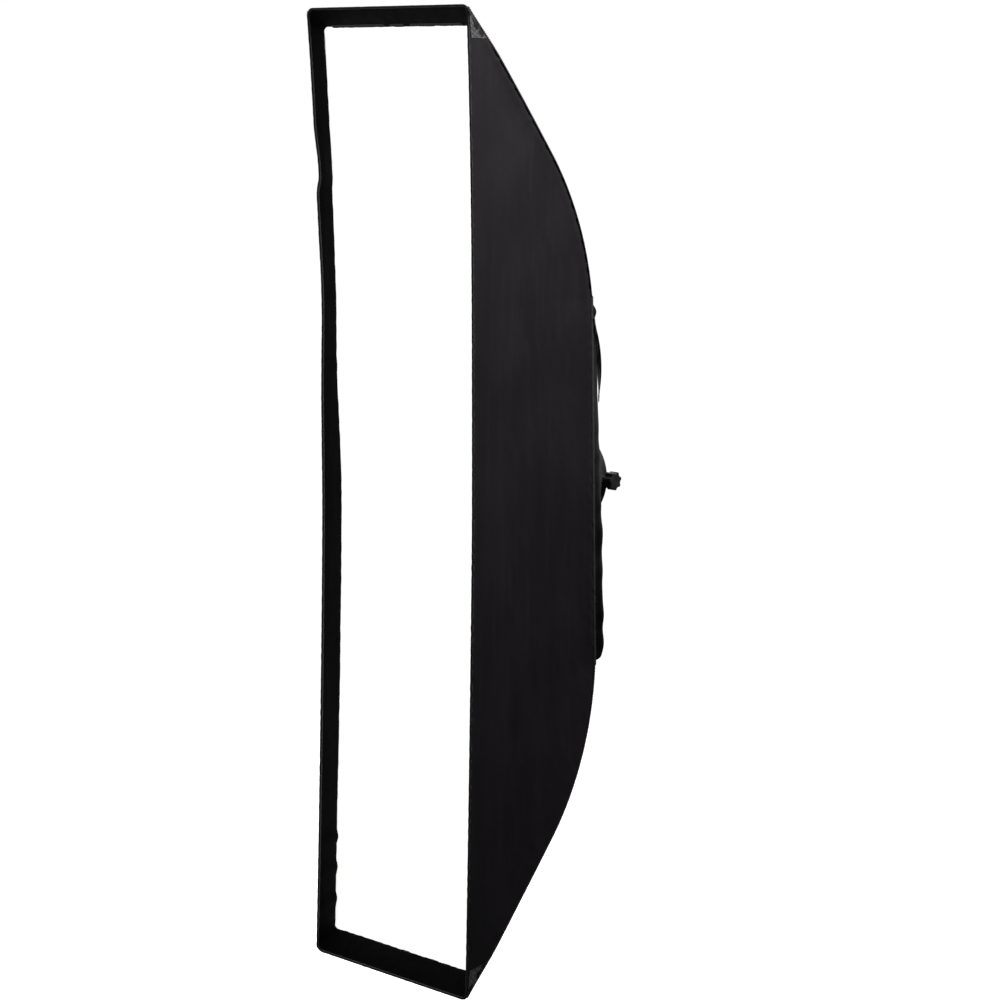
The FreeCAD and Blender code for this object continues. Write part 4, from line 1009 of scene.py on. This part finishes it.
def diffuser(level_name, level):
    """Half of the white diffuser, taut and a little puckered at its sewn edge."""
    rows = 150
    columns = 70
    end_y = FRONT_Y + float(recess(level * HALF_HEIGHT))
    half_height = float(SEAMS[level].height(end_y)) - 0.0030
    z = np.linspace(0.0, half_height, rows)[:, None]
    across = np.linspace(-1.0, 1.0, columns)[None]
    plane = FRONT_Y + recess(level * z)
    half_width = panel_x(plane, z, level) - 0.0030
    x = across * half_width
    to_side = half_width - np.abs(x)
    to_end = half_height - z
    edge = np.minimum(to_side, to_end)
    signed_z = level * z
    y = plane + 0.0006 + 0.0010 * smooth(edge / 0.05)
    y = y + 0.0004 * ripple(z + x, to_side, 0.02, 141, count=5) * np.exp(-edge / 0.012)
    grid = bowed(grid_of(x, y, signed_z), level)
    cloth = Piece().sheet(grid, flip=(level < 0))
    piece = cloth.build(f"diffuser_{level_name}", [DIFFUSER], 0.0005)
    fold(piece, level, "diffuser_cloth", "front_diffuser")


def border(level_name, level):
    """Half of the hook tape sewn round the diffuser's back."""
    rim = []
    for inset in (0.0034, 0.0234):
        rim.append(front_path(level, DIFFUSER_Y - FRONT_Y + 0.0040, inset, rounding=0.002))
    grid = rim[0][None] + (rim[1] - rim[0])[None] * np.linspace(0, 1, 8)[:, None, None]
    tape = Piece().sheet(grid, flip=(level > 0))
    for share in (0.08, 0.92):
        line = rim[0] + (rim[1] - rim[0]) * share + np.array([0.0, 0.0001, 0.0])
        tape.stitches(line, [0.0, 1.0, 0.0])
    piece = tape.build(f"hook_tape_{level_name}", [HOOKS, BLACK_THREAD], 0.0008)
    fold(piece, level, "hook_tape", "hook_border")


def side_loop_tape(side_name, side, level_name, level):
    """Half of the loop tape inside a long side of the lip."""
    low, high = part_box(f"loop_strip_{side_name}")
    rows = 120
    z = np.linspace(0.0, high.z, rows)[:, None]
    y = np.linspace(low.y, high.y, 10)[None]
    x = panel_x(y, z, level) - 0.0018
    grid = bowed(grid_of(side * x, y, level * z), level)
    tape = Piece().sheet(grid, flip=(side * level > 0))
    for column in (1, 8):
        tape.stitches(grid[:, column], [-side, 0.0, 0.0], rise=0.0001)
    piece = tape.build(f"loop_tape_{side_name}_{level_name}", [LOOPS, BLACK_THREAD], 0.0006)
    fold(piece, level, "loop_tape", f"loop_strip_{side_name}")


def end_loop_tape(level_name, level):
    """The loop tape inside the lip's short end."""
    low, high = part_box(f"loop_strip_{level_name}")
    y = np.linspace(low.y, high.y, 10)[:, None]
    x = np.linspace(low.x, high.x, 60)[None]
    grid = grid_of(x, y, level * (SEAMS[level].height(y) - 0.0018))
    tape = Piece().sheet(grid, flip=(level > 0))
    for row in (1, 8):
        tape.stitches(grid[row], [0.0, 0.0, -level], rise=0.0001)
    piece = tape.build(f"loop_tape_{level_name}", [LOOPS, BLACK_THREAD], 0.0005)
    carry(piece, arms_of(level), "loop_tape", f"loop_strip_{level_name}")


def baffle(level_name, level):
    """Half of the inner baffle, hollowed by its tabs, with a bound edge."""
    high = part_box("inner_baffle")[1]
    rows = 110
    columns = 50
    z = np.linspace(0.0, high.z, rows)[:, None]
    across = np.linspace(-1.0, 1.0, columns)[None]
    clip = 0.024
    half_width = high.x - np.maximum(0.0, z - (high.z - clip)) - 0.006 * smooth(1 - z / high.z)
    x = across * half_width
    slack = (1 - np.abs(across)) * smooth((high.z - z) / 0.1)
    y = BAFFLE_Y + 0.0006 + 0.0015 * ripple(x, level * z, 0.16, 151, stretch=2.0) * slack
    grid = grid_of(x, y, level * z)
    cloth = Piece().sheet(grid, flip=(level < 0))
    outline = np.concatenate([grid[:, -1], grid[-1, -2::-1], grid[-2::-1, 0]])
    cloth.sweep(outline, sideways(outline, [0.0, 1.0, 0.0]), oval(0.006, 0.0016, 10))
    piece = cloth.build(f"baffle_{level_name}", [BAFFLE])
    fold(piece, level, "baffle_cloth", "inner_baffle", reach=high.z)


def tabs(level_name, level):
    """Two ribbed elastic tabs from the baffle to the end panel."""
    low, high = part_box(f"baffle_tabs_{level_name}")
    strap = Piece()
    near_z, far_z = (low.z, high.z) if level > 0 else (high.z, low.z)
    for side in (-1, 1):
        centre = side * (high.x - 0.012)
        z = np.linspace(near_z - level * 0.004, far_z - level * 0.005, 14)
        waist = 1 - 0.12 * np.sin(np.linspace(0, math.pi, 14))
        path = grid_of(centre, BAFFLE_Y + 0.0008, z)
        section = oval(0.024, 0.0014, 16)[None] * np.stack([np.ones(14), waist], axis=1)[:, None]
        strap.sweep(path, [1.0, 0.0, 0.0], section)
    piece = strap.build(f"baffle_elastic_{level_name}", [ELASTIC])
    carry(piece, arms_of(level), "elastic", f"baffle_tabs_{level_name}")


for level_name, level in LEVELS:
    hem(level_name, level)
    lip(level_name, level)
    diffuser(level_name, level)
    border(level_name, level)
    end_loop_tape(level_name, level)
    baffle(level_name, level)
    tabs(level_name, level)
    for side_name, side in SIDES:
        side_loop_tape(side_name, side, level_name, level)

# ---------- collar and webbing loop


def collar():
    """The elastic casing that grips the ring, gathered into small pleats."""
    count = 372
    around = full_turn(count)
    pleat = 0.5 + 0.5 * np.cos(around * PLEATS)
    low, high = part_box("collar_band")
    outs = grid_of(np.cos(around), 0.0, np.sin(around))
    centre = (HOLE_RADIUS + 0.0006) * outs + np.array([0.0, (low.y + high.y) / 2, 0.0])
    swell = np.stack([1 + 0.45 * pleat, 1 + 0.08 * pleat], axis=1)
    section = oval(0.0085, 0.0022, 18)[None] * swell[:, None]
    band = Piece().sweep(centre, [0.0, 1.0, 0.0], section, loop=True)
    for offset in (-0.0022, 0.0022):
        path = centre + np.array([0.0, offset, 0.0]) + outs * 0.0015
        band.stitches(path, outs, pitch=0.0055, length=0.0032)
    piece = band.build("collar_elastic", [ELASTIC, BLACK_THREAD])
    carry(piece, "ring", "elastic", "collar_band")


def webbing_loop():
    """The webbing strap on the rear cover's near edge, bowed out, with its ends boxed in stitches."""
    low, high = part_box("webbing_loop")
    count = 70
    z = np.linspace(low.z - 0.008, high.z + 0.008, count)
    share = np.linspace(-1, 1, count)
    free = np.clip(1 - (share / 0.86) ** 2, 0, 1)
    rise = 0.0020 + 0.0026 * free**0.8
    # the strap has a slack twist between its sewn ends
    turn = math.radians(127) + math.radians(26) * free
    sides = grid_of(np.cos(turn), np.sin(turn), 0.0)
    outs = grid_of(np.sin(turn), -np.cos(turn), 0.0)
    surface = grid_of(0.0925, cover_y(0.0915, z, 1), z)
    path = surface + np.array([0.80, 0.60, 0.0]) * rise[:, None]
    strap = Piece().sweep(path, sides, oval(0.020, 0.0019, 16))
    for end in (slice(2, 9), slice(-9, -2)):
        for offset in (-0.008, 0.008):
            line = path[end] + sides[end] * offset + outs[end] * 0.0010
            strap.stitches(line, outs[end], pitch=0.003, length=0.0022)
    piece = strap.build("webbing_strap", [WEBBING, BLACK_THREAD])
    fold(piece, 1, "webbing", "webbing_loop")


collar()
webbing_loop()

# ---------- floor, light and camera

FLOOR_Z = -1.30


def pale_paper():
    """Pale paper for the camera that throws little light back on the object."""
    shader = Shader("pale_paper")
    paper = shader.mix(shader.noise(shader.place, 30.0, 3.0), (0.84, 0.84, 0.84), (0.85, 0.85, 0.85))
    ray = shader.add("LightPath").outputs["Is Camera Ray"]
    return shader.finish(
        Base_Color=shader.mix(ray, (0.05, 0.05, 0.05), paper),
        Roughness=0.9,
        Emission_Color=(1.0, 1.0, 1.0, 1.0),
        Emission_Strength=shader.times(ray, 1.02),
    )


def add_stage():
    """A wide pale floor below the box, as if the box hung on its stand."""
    half_size = 40.0
    x, y = np.meshgrid(*[np.linspace(-half_size, half_size, 3)] * 2)
    Piece().sheet(grid_of(x, y, FLOOR_Z)).build("floor", [pale_paper()])


def add_light(name, place, target, size, power):
    """A square soft light aimed at a point."""
    data = bpy.data.lights.new(name, "AREA")
    data.size = size
    data.energy = power
    light = bpy.data.objects.new(name, data)
    light.location = place
    direction = Vector(target) - Vector(place)
    light.rotation_euler = direction.to_track_quat("-Z", "Y").to_euler()
    bpy.context.scene.collection.objects.link(light)


def add_world():
    """A white surround for the camera and a dimmer even fill for the object."""
    world = bpy.data.worlds.new("studio")
    bpy.context.scene.world = world
    shader = Shader("studio", world)
    ray = shader.add("LightPath").outputs["Is Camera Ray"]
    strength = shader.add("MapRange", {"Value": ray, "To Min": 0.02, "To Max": 1.0}).outputs["Result"]
    background = shader.add("Background", {"Color": (1.0, 1.0, 1.0, 1.0), "Strength": strength})
    shader.add("OutputWorld", {"Surface": background.outputs[0]})


def add_camera():
    """The camera at the photograph's angle: to the right of the front, looking slightly down."""
    yaw, pitch, roll = -0.713, -0.176, 0.004
    forward = Vector((math.sin(yaw) * math.cos(pitch), math.cos(yaw) * math.cos(pitch), math.sin(pitch)))
    right = Vector((math.cos(yaw), -math.sin(yaw), 0.0))
    up = right.cross(forward)
    rolled_right = right * math.cos(roll) + up * math.sin(roll)
    rolled_up = up * math.cos(roll) - right * math.sin(roll)
    data = bpy.data.cameras.new("camera")
    data.sensor_width = 36.0
    data.lens = 84.5
    camera = bpy.data.objects.new("camera", data)
    turn = Matrix((rolled_right, rolled_up, -forward)).transposed()
    camera.matrix_world = Matrix.Translation((2.6062, -3.1979, 0.6805)) @ turn.to_4x4()
    bpy.context.scene.collection.objects.link(camera)
    bpy.context.scene.camera = camera


add_stage()
add_world()
add_light("key", (0.95, 0.25, 1.30), (0.15, -0.25, 0.80), 0.8, 25.0)
add_light("rim", (1.2, 1.9, 2.2), (0.1, -0.05, 0.5), 1.2, 9.0)
add_light("front", (-0.8, -2.6, 1.0), (0.0, -0.3, 0.0), 1.6, 16.0)
add_light("back_left", (-2.0, 1.6, 1.0), (0.0, 0.0, 0.0), 1.5, 75.0)
add_camera()
bpy.context.scene.view_settings.view_transform = "Standard"
